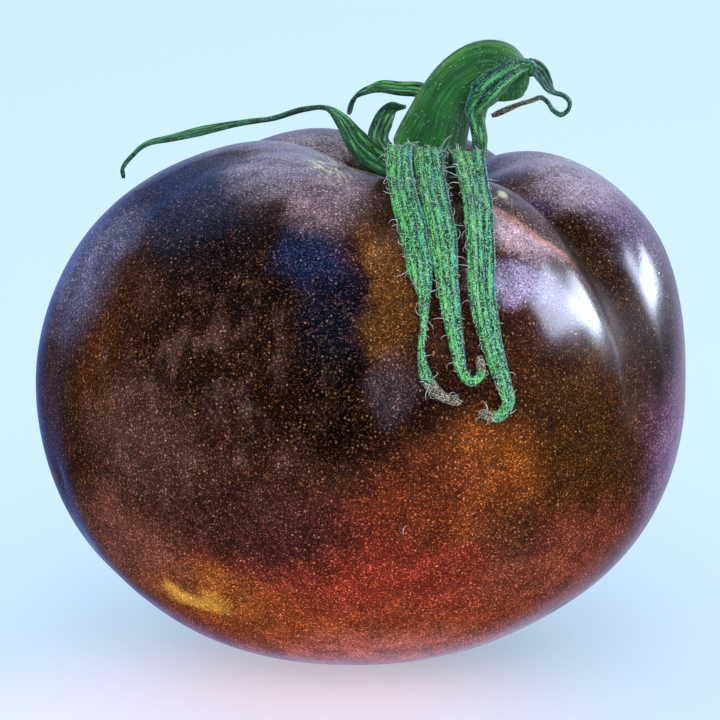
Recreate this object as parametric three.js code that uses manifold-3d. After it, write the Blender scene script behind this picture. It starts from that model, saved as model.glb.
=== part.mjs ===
// Indigo chocolate tomato: one ripe ribbed fruit as picked, with its calyx and a short stump of stem.
// Millimetres, +Z up, +X to the right and -Y to the front.
// The origin is the middle of the small flat spot the fruit rests on.
import * as THREE from 'three';
import { mergeVertices } from 'three/addons/utils/BufferGeometryUtils.js';
import Module from 'manifold-3d';

const wasm = await Module();
wasm.setup();

// Fruit body: a squat rounded shape, a little wider than it is deep.
const HALF_WIDTH = 39.7;
const HALF_DEPTH = 38.0;
const TOP_HEIGHT = 31.0;
const LOW_HEIGHT = 32.9;
const CENTRE_Z = 32.4;
// Exponents of the rounding: above 2 is squarer than an ellipse.
const TOP_POWER = 2.45;
const LOW_POWER = 2.09;
// The stem end lies off the middle, and the underside leans the other way.
const STEM_X = 6.8;
const STEM_Y = -0.5;
const LOW_X = -0.8;
// Hollow the stem grows from.
const CAVITY_DEPTH = 7.0;
const CAVITY_WIDTH = 11.5;
// One shoulder stands higher than the other.
const LIFT_HEIGHT = 3.2;
const LIFT_ANGLE = 175;
const LIFT_PEAK = 40;
// How fast a furrow or lift fades towards the stem end.
const FADE = 1.6;
// Furrows between the lobes: angle about the stem, depth, half width in degrees, deepest ring in degrees,
// and how fast each fades below that ring.
const FURROWS = [
  { angle: -36, depth: 4.6, width: 14, peak: 42, low: 5 },
  { angle: -93, depth: 2.4, width: 14, peak: 34, low: 1.6 },
  { angle: 150, depth: 3.0, width: 13, peak: 30, low: 4 },
  { angle: 98, depth: 3.4, width: 13, peak: 32, low: 4 },
  { angle: 52, depth: 3.0, width: 13, peak: 32, low: 4 },
  { angle: -160, depth: 0.7, width: 16, peak: 80, low: 1.6 },
  { angle: 8, depth: 0.6, width: 16, peak: 80, low: 1.6 },
];
const FRUIT_RINGS = 34;
const FRUIT_SIDES = 84;

// Calyx: a small disc in the hollow, with seven sepals grown from it.
const SEPAL_THICK = 0.7;
const STEPS = 2;
// Profile of the disc from its underside to its top: radius, height.
const DISC = [
  [0, 57.2], [2.1, 57.5], [4.2, 58.6], [5.4, 59.5], [5.6, 60.1], [5.0, 60.5], [2.5, 60.6], [0, 60.6],
];
const DISC_SIDES = 20;

// Stem: centre line and radius at each place, ribbed lengthwise.
const STEM_SIDES = 20;
const STEM_RIBS = 5;
const STEM_RIB_HEIGHT = 0.05;
const STEM_PLACES = [
  { at: [7.8, 0.3, 61.2], radius: 3.6 },
  { at: [8.0, 0.2, 62.8], radius: 4.4 },
  { at: [8.9, -0.4, 65.6], radius: 3.9 },
  { at: [10.1, -0.9, 68.7], radius: 3.3 },
  { at: [12.1, -1.0, 71.2], radius: 3.2 },
  { at: [14.4, -1.0, 72.4], radius: 3.3 },
  { at: [16.1, -1.0, 72.2], radius: 3.5 },
  { at: [16.9, -1.0, 71.0], radius: 3.3 },
  { at: [17.0, -1.0, 69.4], radius: 2.6 },
];

// Sepals: centre line, full width, lengthwise fold in degrees, and the way the face looks (face)
// or the way the width runs (across) at each place.
const SEPALS = {
  frontLeft: [
    { at: [5.4, -2.6, 60.0], wide: 3.2, fold: 8, face: [0, 0.3, 1] },
    { at: [4.9, -7.5, 61.6], wide: 3.4, fold: 8, face: [0, 0.3, 1] },
    { at: [4.4, -12.5, 64.2], wide: 3.0, fold: 8, face: [-0.1, 0.3, 1] },
    { at: [4.3, -16.4, 65.3], wide: 2.9, fold: 8, face: [-0.2, -0.3, 1] },
    { at: [4.3, -18.2, 64.8], wide: 2.9, fold: 8, face: [-0.3, -0.7, 0.8] },
    { at: [4.3, -21.0, 63.0], wide: 3.0, fold: 8, face: [-0.3, -0.6, 0.9] },
    { at: [4.8, -25.6, 60.8], wide: 3.0, fold: 8, face: [-0.3, -0.5, 0.9] },
    { at: [5.7, -28.7, 57.9], wide: 3.1, fold: 8, face: [-0.2, -0.6, 0.8] },
    { at: [6.5, -32.2, 54.1], wide: 2.8, fold: 8, face: [-0.1, -0.8, 0.6] },
    { at: [6.9, -34.0, 51.5], wide: 1.5, fold: 4, face: [0, -0.9, 0.5] },
    { at: [6.9, -35.5, 48.8], wide: 1.0, fold: 0, face: [0.1, -0.9, 0.4] },
    { at: [6.6, -36.9, 45.6], wide: 1.0, fold: 0, face: [0.1, -0.9, 0.3] },
    { at: [7.3, -37.7, 42.5], wide: 1.2, fold: 0, face: [0.1, -1, 0.2] },
    { at: [8.9, -38.0, 40.7], wide: 1.1, fold: 0, face: [0.2, -1, 0.2] },
    { at: [11.0, -37.9, 39.9], wide: 0.8, fold: 0, face: [0.3, -1, 0.1] },
  ],
  frontMiddle: [
    { at: [8.0, -2.8, 60.0], wide: 3.2, fold: 6, face: [0, 0.3, 1] },
    { at: [7.8, -7.5, 61.4], wide: 3.2, fold: 6, face: [0, 0.3, 1] },
    { at: [7.6, -12.5, 63.8], wide: 3.2, fold: 6, face: [0, 0.3, 1] },
    { at: [7.5, -16.4, 64.9], wide: 3.4, fold: 6, face: [0, -0.3, 1] },
    { at: [7.6, -18.2, 64.3], wide: 3.4, fold: 6, face: [0, -0.7, 0.8] },
    { at: [7.9, -21.5, 62.2], wide: 3.3, fold: 6, face: [0, -0.6, 0.9] },
    { at: [8.5, -26.6, 60.0], wide: 3.2, fold: 6, face: [0, -0.5, 0.9] },
    { at: [9.1, -29.8, 57.0], wide: 3.0, fold: 6, face: [0, -0.6, 0.8] },
    { at: [9.5, -32.7, 53.5], wide: 2.6, fold: 6, face: [0.1, -0.8, 0.6] },
    { at: [9.9, -34.7, 50.2], wide: 2.1, fold: 6, face: [0.1, -0.9, 0.5] },
    { at: [10.6, -36.3, 46.0], wide: 1.5, fold: 4, face: [0.2, -0.9, 0.3] },
    { at: [11.2, -37.2, 43.3], wide: 1.1, fold: 0, face: [0.2, -1, 0.2] },
    { at: [12.3, -37.5, 42.3], wide: 1.0, fold: 0, face: [0.3, -0.9, 0.2] },
    { at: [13.3, -37.2, 43.1], wide: 0.9, fold: 0, face: [0.3, -0.9, 0.2] },
    { at: [13.1, -36.5, 45.0], wide: 0.8, fold: 0, face: [0.3, -0.9, 0.3] },
  ],
  frontRight: [
    { at: [10.6, -2.2, 60.0], wide: 3.0, fold: 10, face: [0, 0.3, 1] },
    { at: [11.4, -7.5, 61.3], wide: 2.8, fold: 10, face: [0, 0.3, 1] },
    { at: [12.2, -12.5, 63.4], wide: 3.4, fold: 10, face: [0, 0.3, 1] },
    { at: [12.5, -16.4, 64.5], wide: 4.0, fold: 10, face: [0.1, -0.3, 1] },
    { at: [12.7, -18.2, 63.9], wide: 3.7, fold: 10, face: [0.2, -0.7, 0.8] },
    { at: [12.8, -21.5, 61.9], wide: 3.5, fold: 10, face: [0.2, -0.6, 0.9] },
    { at: [13.2, -26.2, 60.0], wide: 3.4, fold: 10, face: [0.2, -0.5, 0.9] },
    { at: [13.4, -30.0, 56.0], wide: 3.2, fold: 10, face: [0.2, -0.7, 0.7] },
    { at: [13.5, -33.4, 51.0], wide: 3.2, fold: 10, face: [0.3, -0.8, 0.5] },
    { at: [14.1, -34.7, 47.8], wide: 2.7, fold: 8, face: [0.3, -0.9, 0.4] },
    { at: [14.8, -35.5, 45.1], wide: 2.2, fold: 6, face: [0.3, -0.9, 0.3] },
    { at: [16.0, -35.8, 41.3], wide: 1.7, fold: 4, face: [0.4, -0.9, 0.1] },
    { at: [16.5, -36.0, 39.5], wide: 1.4, fold: 0, face: [0.4, -0.9, 0.1] },
    { at: [15.5, -36.8, 38.1], wide: 1.2, fold: 0, face: [0.4, -0.9, 0.1] },
    { at: [13.0, -37.9, 38.7], wide: 0.8, fold: 0, face: [0.3, -0.9, 0.1] },
  ],
  rightArch: [
    { at: [11.4, -1.4, 60.0], wide: 3.0, fold: 10, across: [0.3, 1, 0] },
    { at: [13.6, -4.4, 61.6], wide: 2.2, fold: 5, across: [0.6, 0.8, 0] },
    { at: [14.1, -5.5, 64.3], wide: 1.9, fold: 0, across: [0.9, 0.4, 0] },
    { at: [13.8, -5.8, 66.4], wide: 1.9, fold: -10, across: [0.9, 0.4, 0.1] },
    { at: [13.9, -6.5, 68.1], wide: 3.4, fold: -25, across: [0.8, 0.5, -0.3] },
    { at: [15.0, -7.2, 69.4], wide: 5.6, fold: -32, across: [0.6, 0.6, -0.5] },
    { at: [16.4, -7.4, 70.9], wide: 5.2, fold: -32, across: [0.6, 0.6, -0.5] },
    { at: [17.9, -6.9, 72.2], wide: 4.0, fold: -30, across: [0.5, 0.7, -0.4] },
    { at: [19.4, -5.5, 72.9], wide: 2.4, fold: -15, across: [0.4, 0.9, -0.1] },
    { at: [20.5, -3.6, 72.7], wide: 1.8, fold: 0, across: [0.6, 0.8, 0.2] },
    { at: [21.5, -1.6, 71.6], wide: 1.7, fold: 0, across: [0.8, 0.5, 0.4] },
    { at: [22.4, 0.0, 69.9], wide: 1.5, fold: 0, across: [0.6, 0.7, 0.3] },
    { at: [23.2, 0.4, 69.1], wide: 1.3, fold: 0, across: [0.1, 1, 0] },
    { at: [24.2, 0.7, 68.7], wide: 1.2, fold: 0, across: [0.1, 1, 0] },
    { at: [25.0, 1.0, 67.9], wide: 1.2, fold: 0, across: [0.1, 1, 0] },
    { at: [24.9, 1.4, 66.9], wide: 1.2, fold: 0, across: [0.1, 1, 0] },
    { at: [24.1, 1.8, 66.2], wide: 1.2, fold: 0, across: [0.1, 1, 0] },
    { at: [23.1, 2.2, 66.7], wide: 1.2, fold: 0, across: [0.1, 1, 0] },
    { at: [22.4, 2.4, 67.7], wide: 1.2, fold: 0, across: [0.1, 1, 0] },
    { at: [21.6, 2.4, 68.2], wide: 1.1, fold: 0, across: [0.1, 1, 0] },
    { at: [20.4, 2.3, 67.8], wide: 1.1, fold: 0, across: [0.1, 1, 0] },
    { at: [18.9, 2.0, 67.4], wide: 1.1, fold: 0, across: [0.1, 1, 0] },
    { at: [17.2, 1.4, 66.8], wide: 1.2, fold: 0, across: [0.1, 1, 0.2] },
    { at: [15.7, 0.8, 66.2], wide: 1.1, fold: 0, across: [0.1, 1, 0.2] },
  ],
  backArch: [
    { at: [8.8, 3.0, 59.9], wide: 2.8, fold: 8, across: [1, 0, 0] },
    { at: [9.4, 7.2, 61.4], wide: 2.6, fold: 8, across: [1, 0, 0] },
    { at: [9.5, 9.4, 64.6], wide: 2.2, fold: 6, across: [0.8, 0.4, 0.2] },
    { at: [8.8, 10.2, 67.0], wide: 2.1, fold: 6, across: [0.2, 0.7, 0.6] },
    { at: [7.2, 10.5, 67.9], wide: 2.1, fold: 6, across: [-0.1, 0.6, 0.7] },
    { at: [4.6, 11.0, 68.0], wide: 2.0, fold: 6, across: [0, 0.7, 0.6] },
    { at: [2.2, 11.8, 68.1], wide: 1.8, fold: 4, across: [0, 0.8, 0.5] },
    { at: [0.6, 12.4, 67.6], wide: 1.6, fold: 0, across: [0.2, 0.9, 0.4] },
    { at: [-0.7, 13.0, 66.8], wide: 1.4, fold: 0, across: [0.4, 0.9, 0.3] },
    { at: [-1.4, 13.5, 65.6], wide: 1.2, fold: 0, across: [0.3, 0.9, 0.1] },
    { at: [-1.6, 14.0, 64.4], wide: 1.0, fold: 0, across: [0.3, 0.9, 0.1] },
  ],
  longLeft: [
    { at: [4.2, -1.5, 59.6], wide: 2.8, fold: 8, across: [0.1, 1, 0.2] },
    { at: [2.4, -2.8, 60.9], wide: 3.4, fold: 8, across: [0.2, 0.7, 0.7] },
    { at: [0.8, -3.4, 62.2], wide: 3.3, fold: 8, across: [0.4, 0.5, 0.8] },
    { at: [-0.8, -3.7, 63.9], wide: 2.9, fold: 8, across: [0.6, 0.5, 0.6] },
    { at: [-2.5, -3.6, 66.3], wide: 2.5, fold: 8, across: [0.4, 0.8, 0.3] },
    { at: [-4.3, -3.2, 67.7], wide: 2.3, fold: 8, across: [0.1, 1, -0.1] },
    { at: [-7.0, -2.3, 67.4], wide: 2.3, fold: 8, across: [0.1, 1, -0.2] },
    { at: [-10.8, -1.0, 66.1], wide: 2.3, fold: 8, across: [0.2, 1, -0.2] },
    { at: [-14.4, 0.6, 65.3], wide: 2.3, fold: 8, across: [0.3, 1, 0] },
    { at: [-19.4, 3.0, 63.9], wide: 2.2, fold: 8, across: [0.3, 1, 0.3] },
    { at: [-23.2, 3.8, 62.9], wide: 2.0, fold: 8, across: [0, 1, 0.1] },
    { at: [-26.4, 4.0, 62.2], wide: 1.6, fold: 0, across: [0, 1, 0] },
    { at: [-28.1, 4.0, 60.8], wide: 1.4, fold: 0, across: [0, 1, 0] },
    { at: [-29.3, 4.0, 59.2], wide: 1.2, fold: 0, across: [0, 1, 0] },
    { at: [-29.2, 4.0, 58.1], wide: 1.0, fold: 0, across: [0, 1, 0] },
  ],
  backShort: [
    { at: [5.6, 2.0, 60.0], wide: 2.8, fold: 8, across: [0.7, 0.7, 0] },
    { at: [3.4, 4.4, 60.9], wide: 2.8, fold: 8, across: [0.8, 0.7, 0] },
    { at: [1.9, 6.0, 62.4], wide: 2.6, fold: 8, across: [0.9, 0.4, 0] },
    { at: [2.6, 7.0, 64.6], wide: 2.4, fold: 8, across: [0.9, 0.3, -0.3] },
    { at: [3.7, 7.8, 65.9], wide: 2.2, fold: 4, across: [0.5, 0.7, -0.5] },
    { at: [5.2, 8.2, 66.1], wide: 1.6, fold: 0, across: [0.1, 1, -0.2] },
  ],
};

const radians = THREE.MathUtils.degToRad;

function body(points, triangles) {
  const geometry = new THREE.BufferGeometry();
  geometry.setAttribute('position', new THREE.Float32BufferAttribute(points, 3));
  geometry.setIndex(triangles);
  return geometry;
}

// Depth of a furrow or lift along the way from the stem end to the underside.
function fade(polar, peak, low) {
  const x = polar / radians(peak);
  const power = x > 1 ? low : FADE;
  return x ** power * Math.exp(power * (1 - x));
}

// Shape of a furrow across its width: a narrow crease in a wide dip.
function dip(x) {
  return 0.4 * Math.exp(-((x / 0.42) ** 2)) + 0.6 * Math.exp(-((x / 1.35) ** 2));
}

function turn(angle) {
  return THREE.MathUtils.euclideanModulo(angle + Math.PI, 2 * Math.PI) - Math.PI;
}

// A point of the skin, by the angle from the stem end and the angle about it.
function skin(polar, angle) {
  const s = Math.sin(polar);
  const c = Math.cos(polar);
  const above = c > 0;
  const power = above ? TOP_POWER : LOW_POWER;
  const reach = (Math.abs(s) ** power + Math.abs(c) ** power) ** (-1 / power);
  const wide = HALF_WIDTH * reach * s;
  const deep = HALF_DEPTH * reach * s;
  const cut = FURROWS.reduce(
    (sum, f) => sum + f.depth * fade(polar, f.peak, f.low) * dip(turn(angle - radians(f.angle)) / radians(f.width)),
    0,
  );
  const lift = LIFT_HEIGHT * (0.5 + 0.5 * Math.cos(angle - radians(LIFT_ANGLE))) * fade(polar, LIFT_PEAK, FADE);
  const inward = (cut - 0.25 * lift) * s;
  const top = above ? c * c : 0;
  const low = above ? 0 : c * c;
  const x = (wide - inward) * Math.cos(angle) + STEM_X * top + LOW_X * low;
  const y = (deep - inward) * Math.sin(angle) + STEM_Y * top;
  const hollow = above ? CAVITY_DEPTH * Math.exp(-(((wide + deep) / 2 / CAVITY_WIDTH) ** 2)) : 0;
  const height = (above ? TOP_HEIGHT : LOW_HEIGHT) * reach * c;
  const z = CENTRE_Z + height - (cut - lift) * c - hollow;
  // Everything below the resting plane is pressed flat onto it.
  return [x, y, Math.max(z, 0)];
}

function fruitGeometry() {
  const points = [...skin(0, 0)];
  for (let i = 1; i < FRUIT_RINGS; i++) {
    for (let j = 0; j < FRUIT_SIDES; j++) {
      points.push(...skin((Math.PI * i) / FRUIT_RINGS, (2 * Math.PI * j) / FRUIT_SIDES));
    }
  }
  points.push(...skin(Math.PI, 0));
  const last = points.length / 3 - 1;
  const ring = (i, j) => 1 + (i - 1) * FRUIT_SIDES + (j % FRUIT_SIDES);
  const triangles = [];
  for (let j = 0; j < FRUIT_SIDES; j++) {
    triangles.push(0, ring(1, j), ring(1, j + 1));
    for (let i = 1; i < FRUIT_RINGS - 1; i++) {
      triangles.push(ring(i, j), ring(i + 1, j), ring(i + 1, j + 1));
      triangles.push(ring(i, j), ring(i + 1, j + 1), ring(i, j + 1));
    }
    triangles.push(last, ring(FRUIT_RINGS - 1, j + 1), ring(FRUIT_RINGS - 1, j));
  }
  return body(points, triangles);
}

// A round body about the upright line through x and y, from a profile that starts and ends on it.
function turned(profile, x, y, sides) {
  const rings = profile.slice(1, -1);
  const points = [x, y, profile[0][1]];
  for (const [radius, height] of rings) {
    for (let j = 0; j < sides; j++) {
      const angle = (2 * Math.PI * j) / sides;
      points.push(x + radius * Math.cos(angle), y + radius * Math.sin(angle), height);
    }
  }
  points.push(x, y, profile[profile.length - 1][1]);
  const last = points.length / 3 - 1;
  const ring = (i, j) => 1 + i * sides + (j % sides);
  const triangles = [];
  for (let j = 0; j < sides; j++) {
    triangles.push(0, ring(0, j + 1), ring(0, j));
    for (let i = 0; i < rings.length - 1; i++) {
      triangles.push(ring(i, j), ring(i, j + 1), ring(i + 1, j + 1));
      triangles.push(ring(i, j), ring(i + 1, j + 1), ring(i + 1, j));
    }
    triangles.push(last, ring(rings.length - 1, j), ring(rings.length - 1, j + 1));
  }
  return body(points, triangles);
}

// One sepal: a thin folded strip. Both faces are split into triangles along the same lines.
function blade(rows) {
  const curve = new THREE.CatmullRomCurve3(rows.map((row) => new THREE.Vector3(...row.at)), false, 'centripetal');
  const count = (rows.length - 1) * STEPS;
  const marks = [-1, -0.5, 0, 0.5, 1];
  const size = marks.length;
  const points = [];
  for (let i = 0; i <= count; i++) {
    const before = rows[Math.min(Math.floor(i / STEPS), rows.length - 2)];
    const after = rows[Math.min(Math.floor(i / STEPS), rows.length - 2) + 1];
    const part = i / STEPS - rows.indexOf(before);
    const centre = curve.getPoint(i / count);
    const along = curve.getTangent(i / count);
    const wide = THREE.MathUtils.lerp(before.wide, after.wide, part);
    const fold = radians(THREE.MathUtils.lerp(before.fold, after.fold, part));
    const held = before.face ? 'face' : 'across';
    const hint = new THREE.Vector3(...before[held]).lerp(new THREE.Vector3(...after[held]), part);
    hint.addScaledVector(along, -hint.dot(along)).normalize();
    const across = before.face ? along.clone().cross(hint) : hint.clone();
    const up = before.face ? hint.clone() : hint.clone().cross(along);
    for (const side of [1, -1]) {
      const order = side > 0 ? marks : [...marks].reverse();
      for (const mark of order) {
        const rise = (Math.abs(mark) * wide * Math.sin(fold)) / 2 + (side * SEPAL_THICK) / 2 / Math.cos(fold);
        const place = centre.clone().addScaledVector(across, (mark * wide * Math.cos(fold)) / 2);
        place.addScaledVector(up, rise);
        points.push(place.x, place.y, place.z);
      }
    }
  }
  const face = (i, k) => i * size * 2 + k;
  const back = (i, k) => i * size * 2 + size * 2 - 1 - k;
  const triangles = [];
  for (let i = 0; i < count; i++) {
    for (let k = 0; k < size - 1; k++) {
      triangles.push(face(i, k), face(i, k + 1), face(i + 1, k + 1));
      triangles.push(face(i, k), face(i + 1, k + 1), face(i + 1, k));
      triangles.push(back(i, k), back(i + 1, k + 1), back(i, k + 1));
      triangles.push(back(i, k), back(i + 1, k), back(i + 1, k + 1));
    }
    triangles.push(face(i, 0), face(i + 1, 0), back(i + 1, 0));
    triangles.push(face(i, 0), back(i + 1, 0), back(i, 0));
    triangles.push(face(i, size - 1), back(i + 1, size - 1), face(i + 1, size - 1));
    triangles.push(face(i, size - 1), back(i, size - 1), back(i + 1, size - 1));
  }
  for (let k = 0; k < size - 1; k++) {
    triangles.push(face(0, k), back(0, k + 1), face(0, k + 1));
    triangles.push(face(0, k), back(0, k), back(0, k + 1));
    triangles.push(face(count, k), face(count, k + 1), back(count, k + 1));
    triangles.push(face(count, k), back(count, k + 1), back(count, k));
  }
  return body(points, triangles);
}

// The stem stump: a ribbed round rod that leans over and ends in a blunt knuckle.
function stemGeometry() {
  const places = STEM_PLACES.map((row) => new THREE.Vector3(...row.at));
  const curve = new THREE.CatmullRomCurve3(places, false, 'centripetal');
  const count = (places.length - 1) * STEPS;
  const points = [];
  const centres = [];
  for (let i = 0; i <= count; i++) {
    const index = Math.min(Math.floor(i / STEPS), places.length - 2);
    const part = i / STEPS - index;
    const radius = THREE.MathUtils.lerp(STEM_PLACES[index].radius, STEM_PLACES[index + 1].radius, part);
    const centre = curve.getPoint(i / count);
    const along = i === 0 ? new THREE.Vector3(0, 0, 1) : curve.getTangent(i / count);
    const deep = new THREE.Vector3(0, 1, 0).addScaledVector(along, -along.y).normalize();
    const side = deep.clone().cross(along);
    centres.push(centre);
    for (let j = 0; j < STEM_SIDES; j++) {
      const angle = (2 * Math.PI * j) / STEM_SIDES;
      const reach = radius * (1 + STEM_RIB_HEIGHT * Math.cos(STEM_RIBS * angle + 0.6));
      const place = centre.clone().addScaledVector(side, reach * Math.cos(angle));
      place.addScaledVector(deep, reach * Math.sin(angle));
      points.push(place.x, place.y, place.z);
    }
  }
  const ring = (i, j) => i * STEM_SIDES + (j % STEM_SIDES);
  const triangles = [];
  const first = points.length / 3;
  points.push(...centres[0].toArray());
  const tip = curve.getPoint(1).addScaledVector(curve.getTangent(1), 1.1);
  points.push(...tip.toArray());
  for (let j = 0; j < STEM_SIDES; j++) {
    triangles.push(first, ring(0, j + 1), ring(0, j));
    for (let i = 0; i < count; i++) {
      triangles.push(ring(i, j), ring(i, j + 1), ring(i + 1, j + 1));
      triangles.push(ring(i, j), ring(i + 1, j + 1), ring(i + 1, j));
    }
    triangles.push(first + 1, ring(count, j), ring(count, j + 1));
  }
  return body(points, triangles);
}

function solid(geometry) {
  const bare = new THREE.BufferGeometry();
  bare.setAttribute('position', geometry.getAttribute('position'));
  bare.setIndex(geometry.index);
  const merged = mergeVertices(bare, 1e-5);
  const mesh = new wasm.Mesh({
    numProp: 3,
    vertProperties: new Float32Array(merged.getAttribute('position').array),
    triVerts: new Uint32Array(merged.index.array),
  });
  return new wasm.Manifold(mesh);
}

function shape(manifold) {
  const mesh = manifold.getMesh();
  return body(Array.from(mesh.vertProperties), Array.from(mesh.triVerts));
}

function calyxGeometry() {
  let whole = solid(turned(DISC, STEM_X, STEM_Y, DISC_SIDES));
  for (const rows of Object.values(SEPALS)) {
    whole = whole.add(solid(blade(rows)));
  }
  return shape(whole);
}

function part(name, geometry, colour, roughness) {
  geometry.computeVertexNormals();
  const mesh = new THREE.Mesh(geometry, new THREE.MeshStandardMaterial({ color: colour, roughness, metalness: 0 }));
  mesh.name = name;
  return mesh;
}

const group = new THREE.Group();
group.name = 'indigo_chocolate_tomato';
group.add(part('fruit', fruitGeometry(), 0x4a221a, 0.3));
group.add(part('calyx', calyxGeometry(), 0x4f7f5c, 0.8));
group.add(part('stem', stemGeometry(), 0x2f4a26, 0.7));

export default group;
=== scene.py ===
"""Looks of an indigo chocolate tomato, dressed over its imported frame.

Blender 4.5, metres, +Z up and -Y towards the viewer. The skin, the calyx and the stem
are finer pieces in the shape of the solids they stand for, with hairs added.
"""

import logging
import math
import random
from dataclasses import dataclass
from enum import Enum

import bpy
import numpy as np
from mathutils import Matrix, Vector, noise


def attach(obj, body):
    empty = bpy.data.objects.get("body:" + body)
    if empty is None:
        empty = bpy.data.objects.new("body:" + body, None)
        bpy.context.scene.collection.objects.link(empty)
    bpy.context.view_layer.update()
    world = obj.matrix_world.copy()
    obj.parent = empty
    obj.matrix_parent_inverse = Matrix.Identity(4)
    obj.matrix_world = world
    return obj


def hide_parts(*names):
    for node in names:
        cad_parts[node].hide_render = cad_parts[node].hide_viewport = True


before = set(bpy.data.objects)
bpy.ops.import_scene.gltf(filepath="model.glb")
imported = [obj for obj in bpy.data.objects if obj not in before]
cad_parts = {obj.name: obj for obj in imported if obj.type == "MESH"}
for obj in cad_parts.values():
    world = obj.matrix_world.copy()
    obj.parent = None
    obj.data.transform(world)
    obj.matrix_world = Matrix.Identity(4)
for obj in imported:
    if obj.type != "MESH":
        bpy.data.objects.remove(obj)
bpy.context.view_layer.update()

LOG = logging.getLogger("tomato")
MM = 0.001
BODY = "root"
PHOTO_PIXELS = 720
CURVE_STEP = 0.02

Triple = tuple[float, float, float]
Pair = tuple[float, float]
Limits = tuple[float, ...]
Tree = bpy.types.NodeTree
Node = bpy.types.Node
Socket = bpy.types.NodeSocket
Piece = bpy.types.Object

# The kinds of node that the finishes use most, and their settings
MATHS = "ShaderNodeMath"
VECTORS = "ShaderNodeVectorMath"
MIX = "ShaderNodeMix"
RANGE = "ShaderNodeMapRange"
NOISE = "ShaderNodeTexNoise"
CELLS = "ShaderNodeTexVoronoi"
ATTRIBUTE = "ShaderNodeAttribute"
COLOUR = {"data_type": "RGBA"}
TINT = {"data_type": "RGBA", "blend_type": "MULTIPLY"}
SMOOTH = {"interpolation_type": "SMOOTHSTEP"}


# Small helpers for numbers, node trees and meshes


def bell(x: np.ndarray) -> np.ndarray:
    """Return 1 at 0, falling smoothly to almost 0 at 2 either side."""
    return np.exp(-x * x)


def plateau(x: np.ndarray, limits: Limits) -> np.ndarray:
    """Rise from 0 to 1 between the first two limits, and fall back between the last two."""
    return np.interp(x, limits, (0, 1, 1, 0))


def turn_from(angle: np.ndarray, line: float | np.ndarray) -> np.ndarray:
    """Return the turn in degrees from a line in degrees to each angle in radians, -180 to 180."""
    return (np.degrees(angle) - line + 180) % 360 - 180


def unit_rows(rows: np.ndarray) -> np.ndarray:
    """Return rows scaled to length 1."""
    return rows / np.linalg.norm(rows, axis=1, keepdims=True)


def linear(hex_colour: str) -> tuple[float, float, float, float]:
    """Turn an sRGB hex colour into linear RGBA.

    Args:
        hex_colour: Six hex digits, such as "4a2a1c".

    Returns:
        The colour as four linear numbers, with alpha 1.
    """
    parts = [int(hex_colour[i:i + 2], 16) / 255 for i in (0, 2, 4)]
    low = [p / 12.92 if p <= 0.04045 else ((p + 0.055) / 1.055) ** 2.4 for p in parts]
    return (low[0], low[1], low[2], 1.0)


def feed(tree: Tree, node: Node, inputs: dict | tuple) -> None:
    """Set a node's sockets to values, or link them.

    Args:
        tree: Node tree that holds the node.
        node: The node.
        inputs: What feeds its sockets, by socket name, or as a row from its top socket in use
            downwards. Each is a value, an output socket, or a node, which stands for its first
            output in use.
    """
    if isinstance(inputs, tuple):
        pairs = zip([socket for socket in node.inputs if socket.enabled], inputs)
    else:
        pairs = [(node.inputs[name], value) for name, value in inputs.items()]
    for socket, value in pairs:
        if isinstance(value, Node):
            value = next(output for output in value.outputs if output.enabled)
        if isinstance(value, Socket):
            tree.links.new(value, socket)
        else:
            socket.default_value = value


def add_node(tree: Tree, kind: str, inputs: dict | tuple = (), **settings: object) -> Node:
    """Add one node with its settings, values and links.

    Args:
        tree: Node tree that takes the node.
        kind: Node type name.
        inputs: What feeds its sockets, as feed takes it.
        settings: Attributes set on the node before its sockets.

    Returns:
        The new node.
    """
    node = tree.nodes.new(kind)
    for name, value in settings.items():
        setattr(node, name, value)
    feed(tree, node, inputs)
    return node


def new_material(name: str) -> tuple[bpy.types.Material, Tree, Node]:
    """Make an empty node material.

    Args:
        name: The material's name.

    Returns:
        The material, its tree, and its Principled shader linked to the output.
    """
    material = bpy.data.materials.new(name)
    material.use_nodes = True
    tree = material.node_tree
    tree.nodes.clear()
    shader = add_node(tree, "ShaderNodeBsdfPrincipled")
    add_node(tree, "ShaderNodeOutputMaterial", {"Surface": shader})
    return material, tree, shader


def places_in_mm(tree: Tree) -> Node:
    """Return a node that gives each place on the piece in mm."""
    place = add_node(tree, "ShaderNodeTexCoord").outputs["Object"]
    return add_node(tree, VECTORS, (place, 1 / MM), operation="SCALE")


def radii_away(tree: Tree, place: Node | Socket, centre: Triple, radii: Triple) -> Node:
    """Return how far each place lies from a centre, counted in the radii of an egg about it."""
    moved = add_node(tree, VECTORS, (place, centre), operation="SUBTRACT")
    sized = add_node(tree, VECTORS, (moved, radii), operation="DIVIDE")
    return add_node(tree, VECTORS, (sized,), operation="LENGTH")


@dataclass(frozen=True)
class Grain:
    """A cloudy pattern: its pitch in mm, its number of octaves, and how strong the finer ones are."""

    pitch: float
    octaves: float
    rough: float = 0.5

    def over(self, place: Node | Socket) -> tuple:
        """Return what feeds a noise node that draws this pattern at places in mm."""
        return place, 1 / self.pitch, self.octaves, self.rough


def select_only(*pieces: Piece) -> None:
    """Deselect everything, then select these objects and make the first one active."""
    bpy.ops.object.select_all(action="DESELECT")
    for piece in pieces:
        piece.select_set(True)
    bpy.context.view_layer.objects.active = pieces[0]


def coordinates(piece: Piece) -> np.ndarray:
    """Return an object's vertex places as rows of x, y, z."""
    flat = np.empty(len(piece.data.vertices) * 3)
    piece.data.vertices.foreach_get("co", flat)
    return flat.reshape(-1, 3)


def place_vertices(piece: Piece, places: np.ndarray) -> None:
    """Move every vertex of an object to its row in places, in mm."""
    piece.data.vertices.foreach_set("co", (places * MM).astype(np.float32).ravel())
    piece.data.update()


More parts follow.
